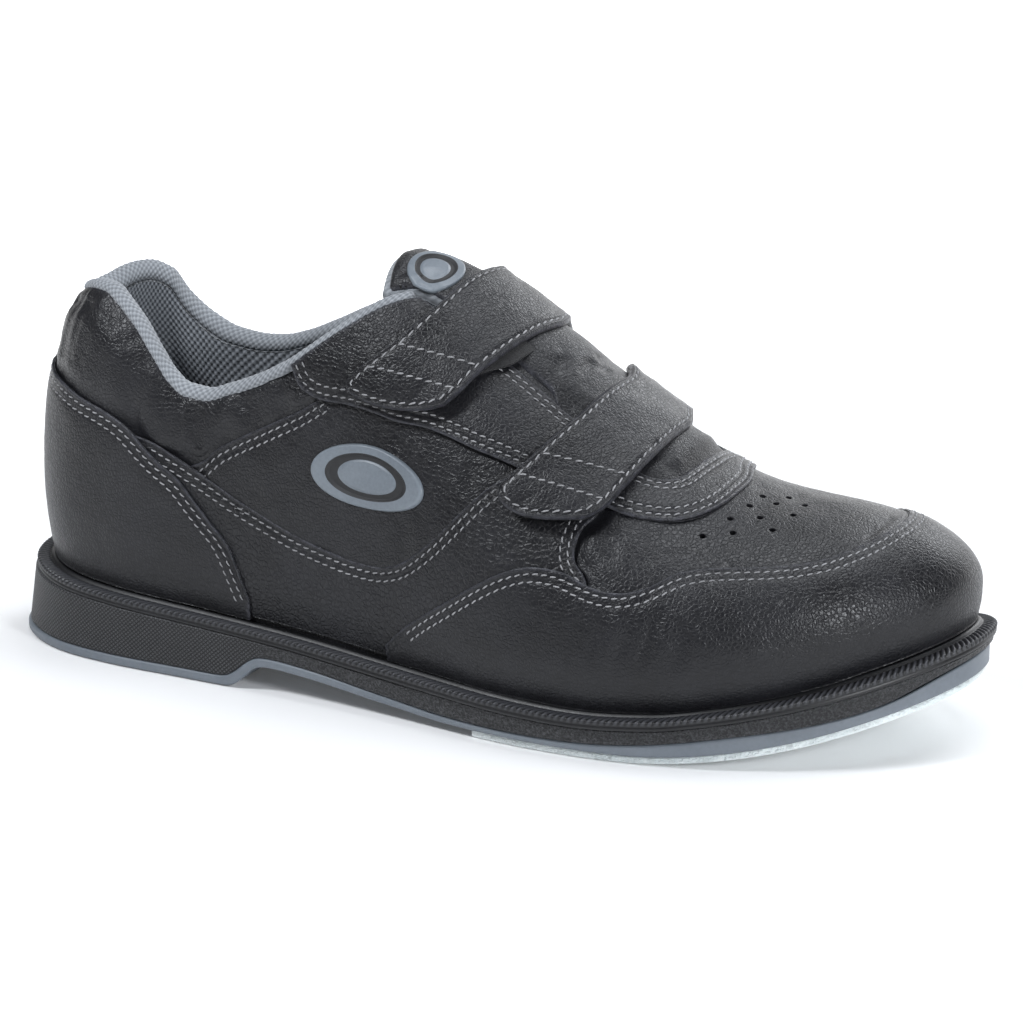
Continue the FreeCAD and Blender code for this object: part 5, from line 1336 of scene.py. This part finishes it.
def felt_fibres():
    """loose fibres round the felt's edge, each a bent three-sided spike"""
    rng = np.random.default_rng(7)
    wanted = 3600
    s = rng.uniform(0, LEN, wanted * 2)
    xy, out = outline(s), outline_normal(s)
    keep = xy[:, 0] > PAD_BACK_X + 3
    xy, out = xy[keep][:wanted], out[keep][:wanted]
    n = len(xy)
    z = spring(xy[:, 0]) + rng.uniform(0.15, 2.05, n)
    root = np.concatenate([xy - out * PAD_INSET, z[:, None]], 1)
    way = unit(np.concatenate([out + rng.normal(0, 0.55, (n, 2)),
                               rng.normal(-0.15, 0.45, n)[:, None]], 1))
    length = rng.uniform(0.5, 1.25, n)[:, None]
    bend = rng.normal(0, 0.35, (n, 3)) * length
    middle = root + way * length * 0.55 + bend * 0.2
    tip = root + way * length + bend * 0.5
    for points in (tip, middle):
        points[:, 2] = np.maximum(points[:, 2], 0.12)
    side = unit(np.cross(way, np.array([0.3, 0.2, 1.0])))
    up = unit(np.cross(side, way))
    thick = 0.055
    verts = []
    for centre, radius in ((root - way * 0.15, thick), (middle, thick * 0.85), (tip, thick * 0.4)):
        for k in range(3):
            angle = 2 * math.pi * k / 3
            verts.append(centre + (side * math.cos(angle) + up * math.sin(angle)) * radius)
    first = np.arange(n)[:, None] * 9
    quads = np.concatenate([first + np.array([[i + j, i + (j + 1) % 3, i + 3 + (j + 1) % 3,
                                               i + 3 + j]]) for i in (0, 3) for j in range(3)])
    tris = np.concatenate([first + np.array([[2, 1, 0]]), first + np.array([[6, 7, 8]])])
    add_mesh("slide_pad_fibres", np.stack(verts, 1).reshape(-1, 3), quads, FELT, tris=tris)


welt()
midsole()
lasting_margin()
plan_solid("outsole_tread", lambda x: sole_flare(x) - 0.35, tread_bottom, outsole_top, OUTSOLE,
           "outsole", rings=30, radius=0.9, count=1404)
plan_solid("slide_pad_felt", -PAD_INSET, spring, lambda x: spring(x) + PAD_T, FELT, "slide_pad",
           rings=24, radius=0.5, count=1404, rough=felt_rough, x_min=PAD_BACK_X)
plan_solid("footbed_sheet", -13.6, lambda x: welt_top(x) + 0.4, lambda x: welt_top(x) + 3.2, BED,
           "footbed", rings=22, radius=0.9, count=560, rough=bed_rough)
felt_fibres()

# ------------------------------------------------------------------ upper panels
# soft folds where the forefoot bends: s, w, depth, width
DENTS = [(224, 0.20, 0.35, 2.2), (232, 0.25, 0.60, 2.4), (239.5, 0.22, 0.50, 2.0),
         (247, 0.26, 0.65, 2.6), (256, 0.22, 0.35, 3.0), (463, 0.24, 0.5, 2.6),
         (472, 0.22, 0.45, 2.4)]


def dents(c):
    total = 0
    for s0, w0, depth, width in DENTS:
        slanted = c.along - s0 - 22.0 * (c.across - w0)
        total = (total - depth * hump(slanted, 0, width) * hump(c.across, w0, 0.075)
                 + 0.5 * depth * hump(slanted, 3.6, width) * hump(c.across, w0, 0.08))
    return total


def swell(c, height):
    return height * smooth(c.high / 9.0) * smooth(c.low / 6.0)


def side_relief(c):
    edge = np.minimum(c.high, c.end)
    return (leather(c.place, 1.1, 3) + channel(c.high) + channel(c.end) + pucker(c.place, edge)
            + 0.25 * smooth(c.high / 8.0) * smooth((c.low - 4) / 8.0))


def collar_relief(c):
    s, w, below = c.along, c.across, c.high
    gather = 0.46 * noise(np.stack([s / 4.2, 0 * s, w * 7.0], -1), 11)
    gather = gather * hump(below, 0, 16.0) * smooth(below / 2.0)
    heel = 0.85 * noise(np.stack([s / 7.5, 0 * s + 3, w * 5.0], -1), 12)
    heel = heel * hump(np.abs(s), 22, 26.0) * smooth(below / 4.0)
    lift = 1.95 * smooth((70.0 - np.abs(s)) / 12.0) * smooth((below - 1.0) / 12.0)
    return leather(c.place, 1.2, 6) + gather + heel - 0.35 * hump(below, 0, 1.6) + lift


def carried(puff, source, target):
    """carries a simulated move to another net with the same stations"""
    n, m = 120, 40
    puff, source, target = [resample(net, np.linspace(0, 1, n), np.linspace(0, 1, m))
                            for net in (puff, source, target)]
    out = np.zeros((n, m, 3))
    for i, k in np.ndindex(n, 3):
        out[i, :, k] = np.interp(target[i, :, 1], source[i, :, 1], puff[i, :, k], left=0.0)
    return out


def vamp_lift(c):
    """forward of the side panels the vamp lies straight under the mudguard and the facing"""
    p = c.place.reshape(-1, 3)
    mudguard = lasted(*MUD_SEAM.T)
    lift = np.ones(len(p))
    for carry in SIDES.values():
        line = path(carry(SIDE_FRONT), 160)
        seam = lasted(*line[line[:, 1] > 0.2].T)
        square = ((p[:, None, :] - seam[None]) ** 2).sum(-1)
        k = square.argmin(1)
        ahead = np.sqrt(square[np.arange(len(p)), k]) * np.where(p[:, 0] > seam[k, 0], 1.0, -1.0)
        near = np.abs(ahead) < 25
        to_mud = np.sqrt(((p[near][:, None, :] - mudguard[None, ::2]) ** 2).sum(-1).min(1))
        e = hump(to_mud, 0, 4.5)
        f = (1 - e) * smooth((ahead[near] - 0.2) / 4.5) + e * smooth((ahead[near] + 0.2) / 0.8)
        lift[near] = np.minimum(lift[near], f)
    x = p[:, 0]
    lift = lift * smooth((x - 44.0) / 4.0) * (1.15 + vamp_sink(x))
    return lift.reshape(c.along.shape)


def facing_relief(c):
    edge = np.minimum(c.low, c.high)
    return (leather(c.place, 1.0, 8) + channel(c.low) + channel(c.high, (1.8, 3.9))
            + pucker(c.place, edge, 5.0) + 0.30 * smooth((c.along - 62.0) / 12.0)
            + 0.35 * smooth(c.low / 6.0) * smooth(c.high / 6.0))


slab("heel_foxing_panel", FOXING_NET, on_profile, *TOP_LAYER, LEATHER, step=0.85, radius=0.5,
     free=(1, 1, 0, 1), node="heel_foxing", relief=lambda c: sewn(c, 1) + swell(c, 0.35))
slab("toe_mudguard_panel", MUD_NET, on_profile, *TOP_LAYER, LEATHER, step=0.85, radius=0.5,
     free=(1, 1, 0, 1), node="toe_mudguard",
     relief=lambda c: sewn(c, 2, 0.9) + dents(c) + swell(c, 0.30))
for side_ in SIDES:
    slab(side_ + "_side_leather", SIDE_NET[side_], on_profile, SIDE_LAYER[0],
         lambda s, w: SIDE_LAYER[1] - 0.32 * smooth((w - 0.50) / 0.08), PEBBLE, step=0.85,
         free=(0, 1, 0, 1), node=side_ + "_side_panel", relief=side_relief)
    slab(side_ + "_quarter_leather", QUARTER_NET[side_], on_profile, *QUARTER_LAYER, LEATHER,
         free=(0, 0, 0, 1), node=side_ + "_quarter", puff=PUFFS["quarter_" + side_[0]],
         relief=lambda c: sewn(c, 4, 1.1))
slab("collar_leather_pad", COLLAR_NET, on_profile, *COLLAR_LAYER, LEATHER, step=0.8, radius=0.35,
     free=(0, 0, 0, 1), node="collar_leather collar_foam", relief=collar_relief,
     puff=carried(PUFFS["collar"], COLLAR_SEEN_NET, COLLAR_NET))
vamp = slab("vamp_leather", VAMP_NET, on_plan, lambda x, y: QUARTER_LAYER[0] - vamp_sink(x),
            vamp_top, LEATHER, step=0.85, radius=0.4, free=(0, 0, 0, 0), node="vamp",
            puff=PUFFS["vamp"], relief=lambda c: leather(c.place, 1.0, 7) + vamp_lift(c))

# x, y of the vamp's small round holes; those furthest out are mirrored across the crest
HOLES = [(79.6, -27.3), (86.9, -22.7), (96.5, -16.6), (83.9, -17.6), (91.1, -12.7), (98.7, -6.6),
         (86.1, -8.5), (91.9, -2.7), (99, 1.5), (86.9, -0.7), (93, 4.1)]
HOLES += [(x, 2 * (5.5 + 0.01 * x) - y) for x, y in HOLES if y < -11]
HOLES = [h for i, h in enumerate(HOLES) if all(math.dist(h, g) > 3.5 for g in HOLES[:i])]
HOLE_SECTION = ((-6.5, 0.72), (-1.9, 0.74), (-0.2, 0.95), (3.0, 1.2))       # height, radius


def cut_vamp_holes():
    verts, faces = [], []
    for x, y in HOLES:
        place, normal = place_and_normal(on_plan, x, y)
        e1 = unit(np.cross(normal, [0, 1, 0.1]))
        e2 = np.cross(normal, e1)
        b = len(verts)
        for height, radius in HOLE_SECTION:
            for k in range(12):
                angle = 2 * math.pi * k / 12
                spoke = e1 * math.cos(angle) + e2 * math.sin(angle)
                verts.append(place + normal * height + spoke * radius)
        for level in range(b, b + 36, 12):
            faces += [[level + k, level + (k + 1) % 12, level + 12 + (k + 1) % 12, level + 12 + k]
                      for k in range(12)]
        faces.append([b + k for k in range(11, -1, -1)])
        faces.append([b + 36 + k for k in range(12)])
    me = bpy.data.meshes.new("hole_cutter")
    me.from_pydata(to_metres(verts).tolist(), [], faces)
    me.update()
    cutter = bpy.data.objects.new("hole_cutter", me)
    bpy.context.scene.collection.objects.link(cutter)
    boolean = vamp.modifiers.new("holes", "BOOLEAN")
    boolean.operation, boolean.object, boolean.solver = "DIFFERENCE", cutter, "EXACT"
    depsgraph = bpy.context.evaluated_depsgraph_get()
    cut = bpy.data.meshes.new_from_object(vamp.evaluated_get(depsgraph))
    vamp.modifiers.clear()
    # a failed boolean loses most of the faces; the uncut sheet stays then
    if len(cut.polygons) > 0.8 * len(vamp.data.polygons):
        vamp.data = cut
    bpy.data.objects.remove(cutter)


cut_vamp_holes()
slab("facing_leather", FACING_NET, on_crest, *TOP_LAYER, LEATHER, step=0.8, radius=0.6,
     node="facing", relief=facing_relief)


# ------------------------------------------------------------------ lining and roll
def pad_depth(s, w):
    """how far the collar's padding pushes the lining inwards"""
    f = (w - (top_line(s) - 0.26)) / 0.26
    g = np.sin(np.pi * np.clip(f, 0, 1) * 0.62) / math.sin(math.pi * 0.62)
    g = np.where(f < 1, g, 1.0)
    front = np.clip((150.0 - np.abs(s)) / 30.0, 0, 1)
    return np.where(f > 0, 4.2 * np.minimum(g, 1.15) * front, 0.0)


def collar_lining():
    us = np.linspace(0, 1, 800)
    vs = np.concatenate([np.linspace(0, 0.36, 12)[:-1], np.linspace(0.36, 1, 118)])
    s, w = np.moveaxis(resample(LINING_NET, us, vs), -1, 0)
    place, normal, pad = lasted(s, w), lasted_normal(s, w), pad_depth(s, w)
    waffle = knit(s / 2.9, w * 112.0 / 2.5) * smooth((vs[None, :] - 0.34) / 0.05)
    soft = 0.35 * noise(place / 14.0, 41)
    verts, quads = shell(place - normal * (5.95 + pad + 0.42 * waffle + soft)[..., None],
                         place - normal * (4.85 + pad)[..., None])
    add_mesh("collar_lining_mesh", verts, quads, MESH,
             attrs={"cav": np.concatenate([waffle.ravel(), 0 * waffle.ravel()])},
             node="collar_lining")


def collar_roll():
    """knitted tube along the top line"""
    n, k = 960, 44
    start, end = twin(146.0) - LEN, 156.5
    s = np.linspace(start, end, n)
    t = top_line(s)
    rise = np.linalg.norm(lasted(s, t + 0.005) - lasted(s, t - 0.005), axis=-1) / 0.01
    angle = np.linspace(0, 2 * np.pi, k, endpoint=False)
    inside = -5.65 - pad_depth(s, t)
    outside = -2.55 + 2.5 * smooth((s - 104.0) / 22.0) + 2.0 * smooth((-s - 104.0) / 22.0)
    knots = knit(arc_length(lasted(s, t))[:, None] / 2.1, angle * 3.2 / 2.2343)
    from_end = np.clip(1 - np.minimum(s - start, end - s) / 3.0, 0, 1)
    taper = np.sqrt(np.clip(1 - from_end ** 2, 0.02, 1))[:, None]
    uneven = 0.25 * noise(np.stack([s / 9.0, 0 * s, 0 * s], -1), 51)
    height = (2.7 + 0.8 * smooth((s - 118.0) / 18.0) + uneven)[:, None] * taper + 0.34 * knots
    height = np.where(np.sin(angle) > 0, height, 2.2 * taper)
    width = (((outside - inside) / 2)[:, None] + 0.34 * knots) * taper
    w = t[:, None] + 0.004 + height * np.sin(angle) / rise[:, None]
    offset = ((inside + outside) / 2)[:, None] + width * np.cos(angle)
    tube = on_profile(s[:, None] + 0 * w, w, offset)
    i, j = np.meshgrid(np.arange(n - 1), np.arange(k), indexing="ij")
    after = (j + 1) % k
    quads = np.stack([i * k + j, (i + 1) * k + j, (i + 1) * k + after, i * k + after],
                     -1).reshape(-1, 4)
    last = (n - 1) * k
    tris = np.array([[n * k, (a + 1) % k, a] for a in range(k)]
                    + [[n * k + 1, last + a, last + (a + 1) % k] for a in range(k)])
    at = 300                        # any ring tells which way the faces look
    g = np.cross(tube[at + 1, 0] - tube[at, 0], tube[at, 1] - tube[at, 0])
    if g.dot(tube[at, 0] - tube[at].mean(0)) < 0:
        quads, tris = quads[:, ::-1], tris[:, ::-1]
    verts = np.concatenate([tube.reshape(-1, 3), tube[0].mean(0)[None], tube[-1].mean(0)[None]])
    add_mesh("collar_roll_knit", verts, quads, KNIT, tris=tris,
             attrs={"cav": np.concatenate([knots.ravel(), [0.5, 0.5]])}, node="collar_binding")


collar_lining()
collar_roll()

# ------------------------------------------------------------------ tongue
TONGUE_BEND = ("shoe", "tongue", on_crest(33.0, 0.0, 2.0), on_crest(21.0, 0.0, 2.0))


def throat_bulge(c):
    x, q = c.along, c.across
    return 1.2 * hump(x, 26, 9) * hump(q, 0, 0.13) + 0.9 * hump(x, 60, 5) * hump(q, 0, 0.12)


def tongue_relief(c):
    rim = np.minimum(np.minimum(c.low, c.high), c.start)
    free_end = smooth((-4.0 - c.along) / 14.0)
    return (leather(c.place, 1.0, 9) + throat_bulge(c)
            + free_end * (0.45 * hump(rim, 2.6, 2.0) - 0.22 * hump(rim, 5.6, 1.2)))


def pad_knit(c):
    x, y, z = np.moveaxis(c.place, -1, 0)
    return knit((x + z) / 2.4, (y + 0.8 * z) / 2.4)


def gusset_top(x, q):
    f = smooth((np.abs(q) - (tongue_q(x) - 0.027)) / 0.04)
    return (tongue_out(x) - 2.0) * (1 - f) - 0.45 * f


slab("tongue_pad", TONGUE_PAD_NET, on_crest, lambda x, q: tongue_out(x) - 6.7,
     lambda x, q: tongue_out(x) - 0.75, KNIT, step=0.7, radius=2.6, under_radius=2.6,
     node="tongue_foam tongue_lining tongue_base", body=TONGUE_BEND, slot="lining_mesh",
     relief=lambda c: 0.22 * pad_knit(c) + throat_bulge(c),
     under_relief=lambda c: -0.25 * pad_knit(c), attrs={"cav": lambda c: 0.25 + 0.75 * pad_knit(c)})
for sign, side_ in ((-1, "lateral"), (1, "medial")):
    # narrow sheets closing the gap beside the tongue, sewn under the facing
    gusset_x = np.linspace(5.0, 38.0, 33)
    gusset_net = ruled(np.stack([gusset_x, sign * (tongue_q(gusset_x) - 0.027)], -1),
                       np.stack([gusset_x, sign * (throat_q(gusset_x) + 0.022)], -1), 8)
    slab("tongue_gusset_" + side_, gusset_net, on_crest, lambda x, q: gusset_top(x, q) - 0.8,
         gusset_top, TONGUE, step=0.8, radius=0.35, free=(1, 1, 1, 0),
         relief=lambda c: leather(c.place, 0.7, 19), attrs={"pf": lambda c: 0 * c.along})
slab("tongue_top_leather", TONGUE_TOP_NET, on_crest, lambda x, q: tongue_top(x, q) - 1.5,
     tongue_top, TONGUE, step=0.7, radius=1.1, free=(1, 0, 1, 1), node="tongue_leather",
     body=TONGUE_BEND, puff=PUFFS["tongue"], relief=tongue_relief,
     attrs={"pf": lambda c: smooth((-3.0 - c.along) / 5.0)})


def oval_badge(name, surface, centre, half, host, depth, body, node, rings=40, count=160,
               skew=0.0, twist=0.0):
    """raised oval with a sunk ring round its middle, laid on a sheet; half is its half axes"""
    radii = np.concatenate([np.linspace(0.02, 0.9, rings), [0.93, 0.955, 0.975, 0.99, 1.0]])
    r, theta = np.meshgrid(radii, np.linspace(0, 2 * np.pi, count, endpoint=False), indexing="ij")
    cos, sin = r * np.cos(theta), r * np.sin(theta)
    seat, normal = place_and_normal(surface, centre[0] + half[0] * cos + twist * sin,
                                    centre[1] + half[1] * sin + skew * cos)
    seat = dropped(host, seat, normal, 16.0)[0]
    # smooth the seat so that the badge doesn't copy the leather's grain
    for _ in range(6):
        seat[1:-1] = 0.5 * seat[1:-1] + 0.25 * (seat[:-2] + seat[2:])
        seat = 0.5 * seat + 0.25 * (np.roll(seat, 1, 1) + np.roll(seat, -1, 1))
    height = (depth * np.sqrt(np.clip(1 - ((r - 0.93) / 0.07).clip(0, 1) ** 2, 0, 1))
              - 0.75 * smooth((0.70 - r) / 0.05) + 0.28 * smooth((0.50 - r) / 0.05))
    top, under = seat + normal * height[..., None], seat - normal * 0.35
    n = len(radii)
    size = n * count
    i, j = np.meshgrid(np.arange(n - 1), np.arange(count), indexing="ij")
    j2 = (j + 1) % count
    face = np.stack([i * count + j, (i + 1) * count + j, (i + 1) * count + j2, i * count + j2],
                    -1).reshape(-1, 4)
    j = np.arange(count)
    j2, rim = (j + 1) % count, size - count
    wall = np.stack([rim + j, size + rim + j, size + rim + j2, rim + j2], -1)
    quads = np.concatenate([face, face[:, ::-1] + size, wall])
    tris = np.concatenate([np.stack([0 * j + 2 * size, j, j2], -1),
                           np.stack([0 * j + 2 * size + 1, size + j2, size + j], -1)])
    if np.cross(top[5, 0] - top[4, 0], top[4, 1] - top[4, 0]).dot(normal[4, 0]) < 0:
        quads, tris = quads[:, ::-1], tris[:, ::-1]
    verts = np.concatenate([top.reshape(-1, 3), under.reshape(-1, 3), top[0].mean(0)[None],
                            under[0].mean(0)[None]])
    face_slots = np.zeros(len(quads) + len(tris), int)
    face_slots[:len(face)] = ((r[:-1] < 0.715) & (r[:-1] > 0.505)).ravel()
    wear_and_highlight = np.concatenate([hump(r, 0.97, 0.02).ravel(), np.zeros(size + 2)])
    add_mesh(name, verts, quads, [BADGE, RECESS], body, tris=tris, attrs={"wear_and_highlight": wear_and_highlight},
             face_slots=face_slots, node=node)


oval_badge("side_badge_oval", on_profile, centre=(151.0, 0.401), half=(19.6, 0.068), skew=0.020,
           twist=-1.5, host="lateral_quarter_leather", depth=1.15, body="shoe", node="side_badge")
oval_badge("tongue_badge_oval", on_crest, centre=(-15.2, -0.075), half=(7.6, 0.078), depth=0.8,
           host="tongue_top_leather", body="tongue", node="tongue_badge", rings=26, count=110)

# ------------------------------------------------------------------ straps
STRAP_THREAD = dict(slot="strap_leather", pitch=2.95, length=2.3, radius=0.23, slant=0.55)
STRAP_SEED = {"upper_strap": 13, "lower_strap": 17}
# rows across the tab: (point of its rear edge, dx, dq), (point of its front edge, dx, dq)
CROSS_ROWS = {
    "upper_strap": [((0, 1.6, 0.004), (0, -1.6, -0.004)), ((2, 1.7, 0.002), (1, -1.6, -0.004))],
    "lower_strap": [((0, 1.6, 0.004), (0, -1.6, -0.002)), ((2, 1.6, 0.004), (2, -1.6, -0.004))]}
ANCHOR_Q, ANCHOR_INSET = (0.372, 0.335), 2.2   # stitched box on the sewn end


def across_hinge(direction, hinge):
    return unit(direction - hinge * np.dot(direction, hinge))


def strap_bends(name):
    """how the band bends into its free end, and the sewn end into the band"""
    rear, front, tab_rear, tab_front, tip = STRAPS[name]
    fold = on_crest(*(tab_rear[0] + tab_front[0]) / 2, 4.0)
    hinge = unit(on_crest(*tab_front[0], 4.0) - on_crest(*tab_rear[0], 4.0))
    way = across_hinge(on_crest(*(tip[0] + tip[-1]) / 2, 4.0) - fold, hinge)
    tab_bend = (name, name + "_end", fold - way * 1.5, fold + way * 2.5)
    middle_x = (rear[0, 0] + front[0, 0]) / 2
    before, after = on_crest(middle_x, 0.322, 3.0), on_crest(middle_x, 0.278, 3.0)
    hinge = unit(on_crest(front[0, 0], HINGE_Q, 3.0) - on_crest(rear[0, 0], HINGE_Q, 3.0))
    way, fold = across_hinge(after - before, hinge), (before + after) / 2
    return tab_bend, ("shoe", name, fold - way * 2.2, fold + way * 2.2)


def strap_tapes(name):
    """hook tape under the free end, loop tape sewn on the shoe"""
    tab_rear, tab_front, tip = STRAPS[name][2:]
    corners = [tab_rear[0], tab_front[0], tab_rear[-1], tab_front[-1]]
    centre = sum(corners) / 4 - (0, 0.015)
    back = np.array(corners[:2])
    for kind, scale, (low, high), rough, body in (("hook", 0.84, HOOK, 0.10, name + "_end"),
                                                  ("loop", 0.90, LOOP, 0.16, "shoe")):
        net = coons(*[centre + (edge - centre) * scale
                      for edge in (tab_rear, tab_front, back, tip)], 20, 24)
        under = (lambda c: -0.10 * np.abs(noise(c.place / 0.7, 63))) if kind == "hook" else None
        slab(f"{name}_{kind}_tape", net, on_crest, low, high - 0.1, TAPE, step=0.55, radius=0.35,
             under_radius=0.2, node=f"{name}_{kind}_patch", body=body, slot="hook_loop",
             relief=lambda c: rough * (noise(c.place / 0.7, 61) + 0.4 * noise(c.place / 2.4, 62)),
             under_relief=under)


def strap_underlay(name, body):
    """strip that shows along the front edge of the strap"""
    front, tab_front = STRAPS[name][1], STRAPS[name][3]
    edge = np.concatenate([below_q(front, 0.12), path(tab_front, 40)[1:30]])
    inside, outside = edge.copy(), edge.copy()
    inside[:, 0] -= 2.2
    taper = smooth((1 - np.linspace(0, 1, len(edge))) / 0.30)
    width = 2.7 * smooth((0.12 - edge[:, 1]) / 0.08) + 0.3
    outside[:, 0] += width * taper - 2.0 * (1 - taper)
    slab(name + "_underlay", ruled(even(inside, 60), even(outside, 60), 8), on_crest, 1.67, 2.62,
         TAPE, step=0.5, radius=0.4, under_radius=0.3, body=body, slot="hook_loop",
         relief=lambda c: 0.14 * noise(c.place / 0.7, 71) + 0.08 * noise(c.place / 2.2, 72))


def strap(name):
    rear, front, tab_rear, tab_front, _ = STRAPS[name]
    net, sewn_net, perimeter = STRAP_NETS[name]
    tab_bend, sewn_bend = strap_bends(name)
    seed = STRAP_SEED[name]

    def relief(c):
        edge = np.minimum(np.minimum(c.low, c.high), c.end)
        rim = 0.30 * hump(edge, 1.0, 0.55) - 0.34 * hump(edge, 2.0, 0.55)
        waves = 0.25 * noise(c.place / 9.0, seed + 3) * smooth(edge / 8.0)
        return (leather(c.place, 1.2, seed) + rim + waves
                + pucker(c.place, edge, amount=0.20, scale=3.0, seed=seed))

    sheet = dict(surface=on_crest, inner=lambda x, q: strap_under(q), outer=strap_top,
                 material=STRAP, step=0.75, radius=1.05, under_radius=0.9, slot="strap_leather")
    slab(name + "_leather", net, free=(0, 1, 1, 1), node=f"{name}_band {name}_tab",
         body=tab_bend, puff=PUFFS[name], relief=relief, **sheet)
    slab(name + "_sewn_end", sewn_net, free=(1, 0, 1, 1), node=name + "_anchor", body=sewn_bend,
         relief=lambda c: leather(c.place, 1.2, seed), **sheet)
    strap_tapes(name)
    if name == "upper_strap":
        strap_underlay(name, tab_bend)
    rows = [(on_crest, perimeter, 1.95, name + "_leather")]
    for (i, dx0, dq0), (j, dx1, dq1) in CROSS_ROWS[name]:
        line = path([tab_rear[i] + (dx0, dq0), tab_front[j] + (dx1, dq1)], 40)
        rows.append((on_crest, line, 0, name + "_leather"))
    stitching(name + "_stitching", rows, tab_bend, **STRAP_THREAD)
    x0, x1 = rear[0, 0] + ANCHOR_INSET, front[0, 0] - ANCHOR_INSET
    box = [path([(x0, q), (x1, q)], 30) for q in ANCHOR_Q]
    box += [path([(x, q) for q in ANCHOR_Q], 20) for x in (x0, x1)]
    stitching(name + "_anchor_stitching", [(on_crest, line, 0, name + "_sewn_end") for line in box],
              **STRAP_THREAD)


for strap_ in STRAPS:
    strap(strap_)


# ------------------------------------------------------------------ stitching of the upper
def double_row(surface, line, distances, host):
    return [(surface, line, distance, host) for distance in distances]


stitching("heel_foxing_stitching",
          double_row(on_profile, FOXING_SEAM, (-1.9, -4.2), "heel_foxing_panel"))
stitching("toe_mudguard_stitching",
          double_row(on_profile, MUD_SEAM[4:-4], (-1.9, -4.2), "toe_mudguard_panel"))
for (side_, carry_), sign in zip(SIDES.items(), (1, -1)):
    top_seam = path(carry_([p for p in SIDE_TOP if 72 < p[0] < 202]), 200)
    front_seam = path(carry_([p for p in SIDE_FRONT if 0.34 < p[1] < 0.6]), 120)
    collar_seam = path(carry_([(88.0, 0.325)] + COLLAR_SEAM), 80)
    stitching(side_ + "_panel_stitching",
              double_row(on_profile, top_seam, (-1.9 * sign, -4.2 * sign), side_ + "_side_leather")
              + double_row(on_profile, front_seam, (1.9 * sign, 4.2 * sign),
                           side_ + "_side_leather")
              + double_row(on_profile, collar_seam, (-1.6 * sign, -3.9 * sign),
                           side_ + "_quarter_leather"))
stitching("facing_stitching",
          double_row(on_crest, path(FACING_EDGE, 400), (1.9, 4.2), "facing_leather")
          + double_row(on_crest, path(THROAT_EDGE, 400)[20:-20], (-1.8, -3.9), "facing_leather"))

# ------------------------------------------------------------------ CAD pieces that stay
for name_, material_ in (("insole_board", BOARD), ("shank", STEEL), ("heel_counter", STIFFENER),
                         ("toe_puff", STIFFENER), ("vamp_lining", MESH)):
    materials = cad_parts[name_].data.materials
    materials.clear()
    materials.append(material_)

# ------------------------------------------------------------------ stage
CAMERA_PLACE, CAMERA_TARGET = (0.55014, -1.13448, 0.4371), (0.01493, -0.01238, 0.05702)
# name, place, target (metres), size, watts
LIGHTS = [("key", (-0.55, -0.62, 1.05), (0.0, 0.0, 0.05), 0.26, 10.5),
          ("fill", (1.05, -0.62, 0.55), (0.05, 0.0, 0.05), 0.24, 9.0),
          ("top", (0.15, 0.20, 1.35), (0.0, 0.0, 0.05), 0.75, 10.0),
          ("back", (0.3, 1.2, 0.8), (0.0, 0.0, 0.08), 0.7, 7.0)]


def floor():
    """pale floor that rises behind the shoe and glows white away from it"""
    n = 160
    axis = np.linspace(-2.5, 2.5, n)
    x, y = np.meshgrid(axis, axis, indexing="ij")
    z = np.where(y > 1.2, (y - 1.2) ** 2 * 0.9, 0.0) - 0.0002
    me = bpy.data.meshes.new("floor")
    me.from_pydata(np.stack([x, y, z], -1).reshape(-1, 3).tolist(), [], grid_quads(n, n).tolist())
    me.update()
    far = smooth((np.hypot(x * 0.8, y) - 0.20) / 0.34)
    attribute = me.attributes.new("far", "FLOAT", "POINT")
    attribute.data.foreach_set("value", far.astype(np.float32).ravel())
    o = bpy.data.objects.new("floor", me)
    bpy.context.scene.collection.objects.link(o)
    sh = Shader("floor_white")
    mottle = sh.noise(sh.millimetres(), scale=0.01, detail=2.0)
    sh.finish({"Base Color": sh.mix(mottle, (0.86, 0.86, 0.865), (0.90, 0.90, 0.90)),
               "Roughness": 0.6, "Specular IOR Level": 0.2,
               "Emission Color": (1.0, 1.0, 1.0, 1.0),
               "Emission Strength": sh.ramp(sh.attribute("far"), (0.0, 1.0), to=(0.05, 1.0))})
    me.materials.append(sh.material)


def aimed(name, data, place, target):
    o = bpy.data.objects.new(name, data)
    bpy.context.scene.collection.objects.link(o)
    o.location = place
    o.rotation_euler = (Vector(target) - Vector(place)).to_track_quat("-Z", "Y").to_euler()
    return o


def white_world():
    """bright where the camera sees it, faint as a light"""
    world = bpy.data.worlds.new("studio")
    bpy.context.scene.world = world
    world.use_nodes = True
    tree = world.node_tree
    background = tree.nodes["Background"]
    background.inputs[0].default_value = (1.0, 1.0, 1.0, 1.0)
    rays = tree.nodes.new("ShaderNodeLightPath")
    strength = tree.nodes.new("ShaderNodeMapRange")
    strength.inputs["To Min"].default_value = 0.10
    strength.inputs["To Max"].default_value = 1.6
    tree.links.new(rays.outputs["Is Camera Ray"], strength.inputs["Value"])
    tree.links.new(strength.outputs[0], background.inputs[1])


floor()
for name_, place_, target_, size_, power_ in LIGHTS:
    light = bpy.data.lights.new(name_, "AREA")
    light.shape = "RECTANGLE"
    light.size, light.size_y = size_, size_
    light.energy, light.color = power_, (0.93, 0.96, 1.0)
    aimed(name_, light, place_, target_)
white_world()
camera = bpy.data.cameras.new("camera")
camera.lens, camera.sensor_width, camera.sensor_fit = 156.48, 36.0, "AUTO"
bpy.context.scene.camera = aimed("camera", camera, CAMERA_PLACE, CAMERA_TARGET)
# plain colour handling, so that black leather stays black on the white ground
bpy.context.scene.view_settings.view_transform = "Standard"
